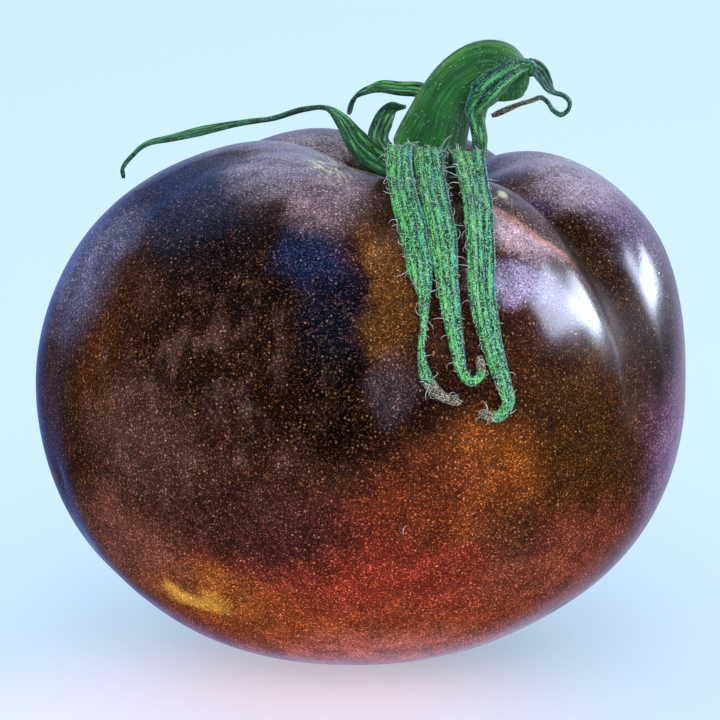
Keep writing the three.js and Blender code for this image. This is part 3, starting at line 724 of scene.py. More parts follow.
SEPALS = (
    Sepal("front_left", Aim.FACE, (
        Place((5.4, -2.6, 60.0), 3.2, 8, (0, 0.3, 1)),
        Place((4.9, -7.5, 61.6), 3.4, 8, (0, 0.3, 1)),
        Place((4.4, -12.5, 64.2), 3.0, 8, (-0.1, 0.3, 1)),
        Place((4.3, -16.4, 65.3), 2.9, 8, (-0.2, -0.3, 1)),
        Place((4.3, -18.2, 64.8), 2.9, 8, (-0.3, -0.7, 0.8)),
        Place((4.3, -21.0, 63.0), 3.0, 8, (-0.3, -0.6, 0.9)),
        Place((4.8, -25.6, 60.8), 3.0, 8, (-0.3, -0.5, 0.9)),
        Place((5.7, -28.7, 57.9), 3.1, 8, (-0.2, -0.6, 0.8)),
        Place((6.5, -32.2, 54.1), 2.8, 8, (-0.1, -0.8, 0.6)),
        Place((6.9, -34.0, 51.5), 1.3, 4, (0, -0.9, 0.5)),
        Place((6.9, -35.5, 48.8), 0.7, 0, (0.1, -0.9, 0.4)),
        Place((6.6, -36.9, 45.6), 0.7, 0, (0.1, -0.9, 0.3)),
        Place((7.3, -37.7, 42.5), 1.3, 0, (0.1, -1, 0.2)),
        Place((8.9, -38.0, 40.7), 1.1, 0, (0.2, -1, 0.2)),
        Place((11.0, -37.9, 39.9), 0.8, 0, (0.3, -1, 0.1)),
    ), 1.0, 0.16, 1.5),
    Sepal("front_middle", Aim.FACE, (
        Place((8.0, -2.8, 60.0), 3.2, 6, (0, 0.3, 1)),
        Place((7.8, -7.5, 61.4), 3.2, 6, (0, 0.3, 1)),
        Place((7.6, -12.5, 63.8), 3.2, 6, (0, 0.3, 1)),
        Place((7.5, -16.4, 64.9), 3.4, 6, (0, -0.3, 1)),
        Place((7.6, -18.2, 64.3), 3.4, 6, (0, -0.7, 0.8)),
        Place((7.9, -21.5, 62.2), 3.3, 6, (0, -0.6, 0.9)),
        Place((8.5, -26.6, 60.0), 3.2, 6, (0, -0.5, 0.9)),
        Place((9.1, -29.8, 57.0), 3.0, 6, (0, -0.6, 0.8)),
        Place((9.5, -32.7, 53.5), 2.6, 6, (0.1, -0.8, 0.6)),
        Place((9.9, -34.7, 50.2), 2.1, 6, (0.1, -0.9, 0.5)),
        Place((10.6, -36.3, 46.0), 1.5, 4, (0.2, -0.9, 0.3)),
        Place((11.2, -37.2, 43.3), 1.1, 0, (0.2, -1, 0.2)),
        Place((12.3, -37.5, 42.3), 1.0, 0, (0.3, -0.9, 0.2)),
        Place((13.3, -37.2, 43.1), 0.9, 0, (0.3, -0.9, 0.2)),
        Place((13.1, -36.5, 45.0), 0.8, 0, (0.3, -0.9, 0.3)),
    ), 1.0, 0.07, 1.5),
    Sepal("front_right", Aim.FACE, (
        Place((10.6, -2.2, 60.0), 3.0, 10, (0, 0.3, 1)),
        Place((11.4, -7.5, 61.3), 2.8, 10, (0, 0.3, 1)),
        Place((11.9, -12.5, 63.4), 3.4, 10, (0, 0.3, 1)),
        Place((12.1, -16.4, 64.5), 4.0, 10, (0.1, -0.3, 1)),
        Place((12.4, -18.2, 63.9), 3.7, 10, (0.2, -0.7, 0.8)),
        Place((12.8, -21.5, 61.9), 3.5, 10, (0.2, -0.6, 0.9)),
        Place((13.2, -26.2, 60.0), 3.4, 10, (0.2, -0.5, 0.9)),
        Place((13.4, -30.0, 56.0), 3.2, 10, (0.2, -0.7, 0.7)),
        Place((13.5, -33.4, 51.0), 3.2, 10, (0.3, -0.8, 0.5)),
        Place((14.1, -34.7, 47.8), 2.7, 8, (0.3, -0.9, 0.4)),
        Place((14.8, -35.5, 45.1), 2.2, 6, (0.3, -0.9, 0.3)),
        Place((16.0, -35.8, 41.3), 1.7, 4, (0.4, -0.9, 0.1)),
        Place((16.5, -36.0, 39.5), 1.4, 0, (0.4, -0.9, 0.1)),
        Place((15.5, -36.8, 38.1), 1.2, 0, (0.4, -0.9, 0.1)),
        Place((13.0, -37.9, 38.7), 0.8, 0, (0.3, -0.9, 0.1)),
    ), 1.0, 0.05, 1.5),
    Sepal("right_arch", Aim.ACROSS, (
        Place((11.4, -1.4, 60.0), 3.0, 10, (0.3, 1, 0)),
        Place((13.6, -4.4, 61.6), 2.2, 5, (0.6, 0.8, 0)),
        Place((14.1, -5.5, 64.3), 1.9, 0, (0.9, 0.4, 0)),
        Place((13.8, -5.8, 66.4), 1.9, -10, (0.9, 0.4, 0.1)),
        Place((13.9, -6.5, 68.1), 3.4, -25, (0.8, 0.5, -0.3)),
        Place((15.0, -7.2, 69.4), 5.6, -32, (0.6, 0.6, -0.5)),
        Place((16.4, -7.4, 70.9), 5.2, -32, (0.6, 0.6, -0.5)),
        Place((17.9, -6.9, 72.2), 4.0, -30, (0.5, 0.7, -0.4)),
        Place((19.4, -5.5, 72.9), 2.4, -15, (0.4, 0.9, -0.1)),
        Place((20.5, -3.6, 72.7), 1.8, 0, (0.6, 0.8, 0.2)),
        Place((21.5, -1.6, 71.6), 1.7, 0, (0.8, 0.5, 0.4)),
        Place((22.4, 0.0, 69.9), 1.5, 0, (0.6, 0.7, 0.3)),
        Place((23.2, 0.4, 69.1), 1.3, 0, (0.1, 1, 0)),
        Place((24.2, 0.7, 68.7), 1.2, 0, (0.1, 1, 0)),
        Place((25.0, 1.0, 67.9), 1.2, 0, (0.1, 1, 0)),
        Place((24.9, 1.4, 66.9), 1.2, 0, (0.1, 1, 0)),
        Place((24.1, 1.8, 66.2), 1.2, 0, (0.1, 1, 0)),
        Place((23.1, 2.2, 66.7), 1.2, 0, (0.1, 1, 0)),
        Place((22.4, 2.4, 67.7), 1.2, 0, (0.1, 1, 0)),
        Place((21.6, 2.4, 68.2), 1.1, 0, (0.1, 1, 0)),
        Place((20.4, 2.3, 67.8), 1.1, 0, (0.1, 1, 0)),
        Place((18.9, 2.0, 67.4), 1.1, 0, (0.1, 1, 0)),
        Place((17.2, 1.4, 66.8), 1.2, 0, (0.1, 1, 0.2)),
        Place((15.7, 0.8, 66.2), 1.1, 0, (0.1, 1, 0.2)),
    ), 0.45, 0.2, 0.6),
    Sepal("back_arch", Aim.ACROSS, (
        Place((8.8, 3.0, 59.9), 2.8, 8, (1, 0, 0)),
        Place((9.4, 7.2, 61.4), 2.6, 8, (1, 0, 0)),
        Place((9.5, 9.4, 64.6), 2.2, 6, (0.8, 0.4, 0.2)),
        Place((8.8, 10.2, 67.0), 2.1, 6, (0.2, 0.7, 0.6)),
        Place((7.2, 10.5, 67.9), 2.1, 6, (-0.1, 0.6, 0.7)),
        Place((4.6, 11.0, 68.0), 2.0, 6, (0, 0.7, 0.6)),
        Place((2.2, 11.8, 68.1), 1.8, 4, (0, 0.8, 0.5)),
        Place((0.6, 12.4, 67.6), 1.6, 0, (0.2, 0.9, 0.4)),
        Place((-0.7, 13.0, 66.8), 1.4, 0, (0.4, 0.9, 0.3)),
        Place((-1.4, 13.5, 65.6), 1.2, 0, (0.3, 0.9, 0.1)),
        Place((-1.6, 14.0, 64.4), 1.0, 0, (0.3, 0.9, 0.1)),
    ), 0.1, 0.05, 0.4),
    Sepal("long_left", Aim.ACROSS, (
        Place((4.2, -1.5, 59.6), 2.8, 8, (0.1, 1, 0.2)),
        Place((2.4, -2.8, 60.9), 3.4, 8, (0.2, 0.7, 0.7)),
        Place((0.8, -3.4, 62.2), 3.3, 8, (0.4, 0.5, 0.8)),
        Place((-0.8, -3.7, 63.9), 2.9, 8, (0.6, 0.5, 0.6)),
        Place((-2.5, -3.6, 66.3), 2.5, 8, (0.4, 0.8, 0.3)),
        Place((-4.3, -3.2, 67.7), 2.3, 8, (0.1, 1, -0.1)),
        Place((-7.0, -2.3, 67.4), 2.3, 8, (0.1, 1, -0.2)),
        Place((-10.8, -1.0, 66.1), 2.3, 8, (0.2, 1, -0.2)),
        Place((-14.4, 0.6, 65.3), 2.3, 8, (0.3, 1, 0)),
        Place((-19.4, 3.0, 63.9), 2.2, 8, (0.3, 1, 0.3)),
        Place((-23.2, 3.8, 62.9), 2.0, 8, (0, 1, 0.1)),
        Place((-26.4, 4.0, 62.2), 1.6, 0, (0, 1, 0)),
        Place((-28.1, 4.0, 60.8), 1.4, 0, (0, 1, 0)),
        Place((-29.3, 4.0, 59.2), 1.2, 0, (0, 1, 0)),
        Place((-29.2, 4.0, 58.1), 1.0, 0, (0, 1, 0)),
    ), 0.15, 0.0, 0.4),
    Sepal("back_short", Aim.ACROSS, (
        Place((5.6, 2.0, 60.0), 2.8, 8, (0.7, 0.7, 0)),
        Place((3.4, 4.4, 60.9), 2.8, 8, (0.8, 0.7, 0)),
        Place((1.9, 6.0, 62.4), 2.6, 8, (0.9, 0.4, 0)),
        Place((2.6, 7.0, 64.6), 2.4, 8, (0.9, 0.3, -0.3)),
        Place((3.7, 7.8, 65.9), 2.2, 4, (0.5, 0.7, -0.5)),
        Place((5.2, 8.2, 66.1), 1.6, 0, (0.1, 1, -0.2)),
    ), 0.1, 0.0, 0.4),
)


def spline(points: np.ndarray, u: np.ndarray) -> np.ndarray:
    """Follow a centripetal Catmull-Rom curve, as the solids do.

    Args:
        points: Rows of control points.
        u: Position of each wanted point, counted in control points.

    Returns:
        Rows of points on the curve.
    """
    padded = np.vstack([2 * points[0] - points[1], points, 2 * points[-1] - points[-2]])
    span = np.clip(np.floor(u).astype(int), 0, len(points) - 2)
    w = (u - span)[:, None]
    a, b, c, d = (padded[span + k] for k in range(4))
    gap = [np.sqrt(np.linalg.norm(q - p, axis=1, keepdims=True)) for p, q in ((a, b), (b, c), (c, d))]
    start = ((b - a) / gap[0] - (c - a) / (gap[0] + gap[1]) + (c - b) / gap[1]) * gap[1]
    end = ((c - b) / gap[1] - (d - b) / (gap[1] + gap[2]) + (d - c) / gap[2]) * gap[1]
    bend = -3 * b + 3 * c - 2 * start - end
    return b + start * w + bend * w ** 2 + (2 * b - 2 * c + start + end) * w ** 3


@dataclass
class Strip:
    """A sepal's frame at many places along it, in mm."""

    centre: np.ndarray
    along: np.ndarray
    across: np.ndarray
    up: np.ndarray
    wide: np.ndarray
    fold: np.ndarray

    @classmethod
    def of(cls, sepal: Sepal, u: np.ndarray) -> "Strip":
        """Work out a sepal's frame.

        Args:
            sepal: The sepal.
            u: Position of each wanted place, counted in the sepal's places.

        Returns:
            The frame at those places.
        """
        points = sepal.points()
        marks = np.arange(len(sepal.places))
        centre = spline(points, u)
        ahead, behind = np.minimum(u + CURVE_STEP, marks[-1]), np.maximum(u - CURVE_STEP, 0)
        along = unit_rows(spline(points, ahead) - spline(points, behind))
        way = np.stack([np.interp(u, marks, [p.way[k] for p in sepal.places]) for k in range(3)], -1)
        way = unit_rows(way - along * (way * along).sum(1, keepdims=True))
        if sepal.aim is Aim.FACE:
            up, across = way, np.cross(along, way)
        else:
            up, across = np.cross(way, along), way
        wide = np.interp(u, marks, [p.wide for p in sepal.places])
        fold = np.radians(np.interp(u, marks, [p.fold for p in sepal.places]))
        return cls(centre, along, across, up, wide, fold)


@dataclass(frozen=True)
class SepalTissue:
    """Sepal and stalk tissue: matt living green under fine white hairs, with grooves between veins.
    The grooves are darkened with painted shade, and one flank is bluer with painted sheen.

    Dried tips are brown and straw-coloured. The hairs' white roots and the lines between them
    are drawn about 0.2 mm apart, coarser than life, so that they show. Limits give a value's
    range, then the range that it is turned into. The streaks follow the length of the leaf.
    """

    name: str
    shade: str = "0c3428"
    living: str = "2c7040"
    groove: str = "03201e"
    frost_dark: str = "022420"
    frost: str = "40c458"
    # painted sheen: the bluish tint laid on one flank of each sepal
    painted_sky_sheen: str = "2898ac"
    pale: str = "a8f8a4"
    vein: str = "80dc60"
    dry_dark: str = "3a2e26"
    dry_pale: str = "d8c49a"
    streak: Grain = Grain(1.0, 3.0, 0.7)
    streak_width: float = 0.2
    streak_length: float = 2.4
    grain: Grain = Grain(0.17, 3.0, 0.75)
    cloud: Grain = Grain(1.8, 3.0)
    living_streaks: Pair = (0.35, 0.65)
    living_grains: Limits = (0.6, 0.75, 0.0, 0.6)
    frost_cloud: float = 2.4
    frost_green: Pair = (0.9, 1.6)
    frost_streaks: Pair = (0.48, 0.535)
    frost_grains: Limits = (0.535, 0.58, 0.0, 0.95)
    frost_gaps: Limits = (0.49, 0.44, 0.0, 0.95)
    # painted shade darkens the grooves between the veins
    groove_rib: Pair = (0.5, 0.05)
    groove_streaks: Pair = (0.66, 0.45)
    groove_strength: float = 0.9
    vein_rib: Pair = (0.7, 0.98)
    vein_streaks: Pair = (0.42, 0.58)
    vein_strength: float = 0.6
    husk_grains: Pair = (0.48, 0.6)
    husk_cloud: float = 0.9
    husk_edge: Pair = (0.45, 0.75)
    rough: float = 0.62
    ior: float = 1.4
    sheen: float = 0.08
    sheen_rough: float = 0.5
    seep: float = 0.1
    seep_radius: Triple = (0.3, 0.6, 0.2)
    seep_depth: float = 0.4
    bump_strength: float = 0.6
    bump_height: float = 0.08

    def make(self) -> bpy.types.Material:
        """Build the tissue's material and return it."""
        material, tree, shader = new_material(self.name)
        place = places_in_mm(tree)
        names = ("fuzz", "dry", "rib", "side", "run", "flank")
        stored = [add_node(tree, ATTRIBUTE, attribute_name=name).outputs["Fac"] for name in names]
        fuzz, dry, rib, side, run, flank = stored
        across = add_node(tree, MATHS, (side, 1 / self.streak_width), operation="MULTIPLY")
        along = add_node(tree, MATHS, (run, 1 / self.streak_length), operation="MULTIPLY")
        lengthwise = add_node(tree, "ShaderNodeCombineXYZ", (across, along))
        streak = add_node(tree, NOISE, self.streak.over(lengthwise))
        grain = add_node(tree, NOISE, self.grain.over(place))
        cloud = add_node(tree, NOISE, self.cloud.over(place))
        plain, frosted = self.plain(tree, streak, grain), self.frosted(tree, streak, grain, cloud, flank)
        colour = add_node(tree, MIX, (fuzz, plain, frosted), **COLOUR)
        colour = self.add_ribs(tree, rib, streak, colour)
        colour = self.add_husk(tree, dry, grain, cloud, colour)
        bump = {"Strength": self.bump_strength, "Distance": self.bump_height * MM, "Height": grain}
        feed(tree, shader, {
            "Base Color": colour,
            "Normal": add_node(tree, "ShaderNodeBump", bump),
            "Roughness": self.rough,
            "IOR": self.ior,
            "Sheen Weight": self.sheen,
            "Sheen Roughness": self.sheen_rough,
            "Subsurface Weight": self.seep,
            "Subsurface Radius": self.seep_radius,
            "Subsurface Scale": self.seep_depth * MM,
        })
        return material

    def plain(self, tree: Tree, streak: Node, grain: Node) -> Node:
        """Return the colour where hairs are few: streaks of green with pale grains."""
        shown = add_node(tree, RANGE, (streak, *self.living_streaks), **SMOOTH)
        green = add_node(tree, MIX, (shown, linear(self.shade), linear(self.living)), **COLOUR)
        shown = add_node(tree, RANGE, (grain, *self.living_grains), **SMOOTH)
        return add_node(tree, MIX, (shown, green, linear(self.pale)), **COLOUR)

    def frosted(self, tree: Tree, streak: Node, grain: Node, cloud: Node, flank: Socket) -> Node:
        """Return the colour where hairs are thick: frosty lines, bluer on one flank with painted sheen, with
        grains and gaps.
        """
        # Painted sheen: one flank of each sepal turns bluer, as if mirroring the pale blue room, and the
        # other greener.
        uneven = add_node(tree, MATHS, (cloud, self.frost_cloud), operation="MULTIPLY")
        painted_light_side = add_node(tree, MATHS, (flank, uneven), operation="ADD")
        shown = add_node(tree, RANGE, (painted_light_side, *self.frost_green), **SMOOTH)
        frost = add_node(tree, MIX, (shown, linear(self.painted_sky_sheen), linear(self.frost)), **COLOUR)
        shown = add_node(tree, RANGE, (streak, *self.frost_streaks), **SMOOTH)
        colour = add_node(tree, MIX, (shown, linear(self.frost_dark), frost), **COLOUR)
        for limits, paint in ((self.frost_grains, self.pale), (self.frost_gaps, self.groove)):
            shown = add_node(tree, RANGE, (grain, *limits), **SMOOTH)
            colour = add_node(tree, MIX, (shown, colour, linear(paint)), **COLOUR)
        return colour

    def add_ribs(self, tree: Tree, rib: Socket, streak: Node, colour: Node) -> Node:
        """Darken the grooves between veins with painted shade, lighten the veins and return the colour."""
        for rib_limits, streak_limits, strength, paint in (
            (self.groove_rib, self.groove_streaks, self.groove_strength, self.shade),
            (self.vein_rib, self.vein_streaks, self.vein_strength, self.vein),
        ):
            high = add_node(tree, RANGE, (rib, *rib_limits), **SMOOTH)
            broken = add_node(tree, RANGE, (streak, *streak_limits), **SMOOTH)
            line = add_node(tree, MATHS, (high, broken), operation="MULTIPLY")
            shown = add_node(tree, MATHS, (line, strength), operation="MULTIPLY")
            colour = add_node(tree, MIX, (shown, colour, linear(paint)), **COLOUR)
        return colour

    def add_husk(self, tree: Tree, dry: Socket, grain: Node, cloud: Node, colour: Node) -> Node:
        """Lay brown and straw colours where the leaf has dried, with a ragged edge, and return the colour."""
        shown = add_node(tree, RANGE, (grain, *self.husk_grains), **SMOOTH)
        husk = add_node(tree, MIX, (shown, linear(self.dry_dark), linear(self.dry_pale)), **COLOUR)
        centred = add_node(tree, MATHS, (cloud, 0.5), operation="SUBTRACT")
        uneven = add_node(tree, MATHS, (centred, self.husk_cloud), operation="MULTIPLY")
        worn = add_node(tree, MATHS, (dry, uneven), operation="ADD")
        shown = add_node(tree, RANGE, (worn, *self.husk_edge), **SMOOTH)
        return add_node(tree, MIX, (shown, colour, husk), **COLOUR)


@dataclass
class Calyx:
    """The calyx: a disc in the stem hollow with seven thin ribbed sepals. Sizes are in mm."""

    finish: SepalTissue
    thick: float = 0.42
    across: int = 28
    steps: int = 10
    rib_height: float = 0.15
    rib_count: float = 3.5
    rib_sway: float = 0.8
    wave_pitch: float = 0.8
    wave_apart: float = 9.1
    wave_width: float = 0.09
    wave_height: float = 0.12
    full_width: float = 2.5
    least_ribs: float = 0.2
    tip_share: float = 0.03
    tip_blunt: float = 0.08
    side_step: float = 10.0
    dry_reach: float = 1.2
    dry_edge: float = 0.6
    disc_segments: int = 48
    disc_rings: int = 24
    disc_radius: float = 5.5
    disc_height: float = 1.65
    disc_centre: Triple = (6.8, -0.5, 58.95)
    disc_lobes: int = 5
    disc_wave: float = 0.05
    disc_fuzz: float = 0.1

    def build(self) -> Piece:
        """Model the sepals and the disc as one piece, dress it and return it."""
        pieces = [self.blade(sepal, index) for index, sepal in enumerate(SEPALS)]
        select_only(*pieces, self.disc())
        bpy.ops.object.join()
        whole = bpy.context.object
        whole.name = "calyx_leaves"
        finish_piece(whole, self.finish.make())
        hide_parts("calyx")
        return whole

    def blade(self, sepal: Sepal, index: int) -> Piece:
        """Bend a flat grid into one sepal and give it its thickness.

        Args:
            sepal: The sepal to make.
            index: Its number, which seeds its small waves.

        Returns:
            The sepal's object.
        """
        last = len(sepal.places) - 1
        bpy.ops.object.select_all(action="DESELECT")
        bpy.ops.mesh.primitive_grid_add(x_subdivisions=self.across, y_subdivisions=last * self.steps, size=1)
        piece = bpy.context.object
        piece.name = "sepal_" + sepal.name
        flat = coordinates(piece)
        mark = flat[:, 0] * 2
        u = (flat[:, 1] + 0.5) * last
        strip = Strip.of(sepal, u)
        seeds = [(index * self.wave_apart, x * self.wave_pitch, math.copysign(2, m)) for x, m in zip(u, mark)]
        wave = np.array([noise.noise(Vector(seed)) for seed in seeds])
        share = u / u.max()
        point = ((share - 1 + self.tip_share) / self.tip_share).clip(0)
        blunt = np.sqrt(np.clip(1 - point ** 2, self.tip_blunt, 1))
        wide = strip.wide * blunt * (1 + self.wave_width * wave)
        rib = 0.5 + 0.5 * np.cos(mark * self.rib_count * math.pi + self.rib_sway * wave)
        keep = np.clip(wide / self.full_width, self.least_ribs, 1)
        rise = np.abs(mark) * wide * np.sin(strip.fold) / 2 + self.rib_height * keep * (rib - 0.5)
        rise += self.wave_height * keep * wave * mark ** 2
        aside = mark * wide * np.cos(strip.fold) / 2
        place_vertices(piece, strip.centre + strip.across * aside[:, None] + strip.up * rise[:, None])
        run, dry = share * sepal.reach()[-1], self.dried(sepal, share)
        side = mark * wide / 2 + self.side_step * index
        store(piece, rib=rib, side=side, flank=mark, run=run, fuzz=sepal.fuzz, dry=dry)
        select_only(piece)
        bpy.ops.object.modifier_add(type="SOLIDIFY")
        modifier = piece.modifiers[-1]
        modifier.thickness = self.thick * MM
        modifier.offset = 0
        bpy.ops.object.modifier_apply(modifier=modifier.name)
        return piece

    def dried(self, sepal: Sepal, share: np.ndarray) -> np.ndarray:
        """Return how dry a sepal is at shares of its length: fully at its tip, over a soft edge."""
        if not sepal.dry:
            return np.zeros_like(share)
        return np.clip((share - 1 + sepal.dry * self.dry_reach) / (sepal.dry * self.dry_edge), 0, 1)

    def disc(self) -> Piece:
        """Flatten a sphere into the disc that the sepals grow from and return it."""
        piece = new_sphere("calyx_disc", self.disc_segments, self.disc_rings)
        unit = coordinates(piece)
        angle = np.arctan2(unit[:, 1], unit[:, 0])
        size = np.array([self.disc_radius, self.disc_radius, self.disc_height])
        lobes = 1 + self.disc_wave * np.cos(self.disc_lobes * angle)
        place_vertices(piece, unit * size * lobes[:, None] + np.array(self.disc_centre))
        store(piece, rib=0.5, side=0.0, flank=0.0, run=0.0, fuzz=self.disc_fuzz, dry=0.0)
        return piece


# Stem


@dataclass(frozen=True)
class StemPlace:
    """One place along the stem: centre and radius in mm."""

    at: Triple
    radius: float


@dataclass
class Stem:
    """The stem stump: a ribbed fuzzy stalk that leans right and ends in a blunt knuckle."""

    finish: SepalTissue
    segments: int = 80
    rings: int = 120
    ribs: int = 5
    rib_height: float = 0.05
    rib_turn: float = 0.6
    fine_ribs: int = 17
    fine_height: float = 0.012
    fine_sway: float = 0.9
    base_share: float = 0.05
    tip_share: float = 0.1
    tip_length: float = 1.1
    highlight_rib: float = -151.0
    highlight_width: float = 30.0
    rib_least: float = 0.55
    rib_highlight_gain: float = 0.4
    dry_from: float = 0.9
    dry_gain: float = 1.5
    length: float = 22.0
    girth: float = 3.5
    fuzz: float = 0.12
    places: tuple[StemPlace, ...] = (
        StemPlace((7.8, 0.3, 61.2), 3.6),
        StemPlace((8.0, 0.2, 62.8), 4.4),
        StemPlace((8.9, -0.4, 65.6), 3.9),
        StemPlace((10.1, -0.9, 68.7), 3.3),
        StemPlace((12.1, -1.0, 71.2), 3.2),
        StemPlace((14.4, -1.0, 72.4), 3.3),
        StemPlace((16.1, -1.0, 72.2), 3.5),
        StemPlace((16.9, -1.0, 71.0), 3.3),
        StemPlace((17.0, -1.0, 69.4), 2.6),
    )

    def surface(self, u: np.ndarray, angle: np.ndarray, share: np.ndarray) -> np.ndarray:
        """Place points on the stem.

        Args:
            u: Position along the stem, counted in its places.
            angle: Angle round the stem in radians.
            share: Share of the full radius, less than 1 on the end faces.

        Returns:
            Rows of x, y, z in mm.
        """
        points = np.array([p.at for p in self.places], float)
        last = len(points) - 1
        ahead, behind = np.minimum(u + CURVE_STEP, last), np.maximum(u - CURVE_STEP, 0)
        along = unit_rows(spline(points, ahead) - spline(points, behind))
        along[u < CURVE_STEP] = (0, 0, 1)
        deep = unit_rows(np.array([0, 1.0, 0]) - along * along[:, 1:2])
        side = np.cross(deep, along)
        radius = np.interp(u, np.arange(last + 1), [p.radius for p in self.places])
        coarse = self.rib_height * np.cos(self.ribs * angle + self.rib_turn)
        fine = self.fine_height * np.cos(self.fine_ribs * angle + self.fine_sway * np.sin(u))
        reach = radius * share * (1 + coarse + fine)
        bulge = self.tip_length * np.sqrt(np.clip(1 - share ** 2, 0, 1)) * (u >= last)
        centre = spline(points, u) + along * bulge[:, None]
        return centre + side * (reach * np.cos(angle))[:, None] + deep * (reach * np.sin(angle))[:, None]

    def build(self) -> Piece:
        """Shape a sphere into the stem, dress it and return it."""
        piece = new_sphere("stem_stump", self.segments, self.rings)
        unit = coordinates(piece)
        share_along = 1 - np.arccos(np.clip(unit[:, 2], -1, 1)) / math.pi
        angle = np.arctan2(unit[:, 1], unit[:, 0])
        middle = (share_along - self.base_share) / (1 - self.base_share - self.tip_share)
        u = np.clip(middle, 0, 1) * (len(self.places) - 1)
        share = np.minimum(share_along / self.base_share, 1)
        share = np.minimum(share, np.clip((1 - share_along) / self.tip_share, 0, 1))
        place_vertices(piece, self.surface(u, angle, share))
        # Painted highlight: the pale rib line is stronger along one side of the stem, standing for a rib that
        # catches the light.
        pale = bell(turn_from(angle, self.highlight_rib) / self.highlight_width)
        rib = 0.5 + 0.5 * np.cos(self.ribs * angle + self.rib_turn)
        rib = rib * (self.rib_least + self.rib_highlight_gain * pale)
        dry = np.clip((1 - share) * self.dry_gain, 0, 1) * (middle > self.dry_from)
        side, run = angle * self.girth, share_along * self.length
        store(piece, rib=rib, side=side, flank=0.0, run=run, fuzz=self.fuzz, dry=dry)
        finish_piece(piece, self.finish.make())
        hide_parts("stem")
        return piece


# Hairs


@dataclass(frozen=True)
class PlantHair:
    """Clear white plant hairs: thin glassy threads that catch the light."""

    colour: str = "fbfff8"
    shade: str = "d4e8cc"
    cloud: Grain = Grain(1.0, 1.0)
    cloud_limits: Pair = (0.4, 0.6)
    rough: float = 0.35
    seep: float = 0.3
    seep_depth: float = 0.3

    def make(self) -> bpy.types.Material:
        """Build the hairs' material and return it."""
        material, tree, shader = new_material("plant_hair_clear")
        cloud = add_node(tree, NOISE, self.cloud.over(places_in_mm(tree)))
        shown = add_node(tree, RANGE, (cloud, *self.cloud_limits), **SMOOTH)
        feed(tree, shader, {
            "Base Color": add_node(tree, MIX, (shown, linear(self.colour), linear(self.shade)), **COLOUR),
            "Roughness": self.rough,
            "Subsurface Weight": self.seep,
            "Subsurface Radius": (1.0, 1.0, 1.0),
            "Subsurface Scale": self.seep_depth * MM,
        })
        return material


class HairKind(Enum):
    """Where on a sepal a hair grows, and how long it is."""

    EDGE = "long, on an edge"
    FACE = "middling, on the face"
    NAP = "short, on the face"


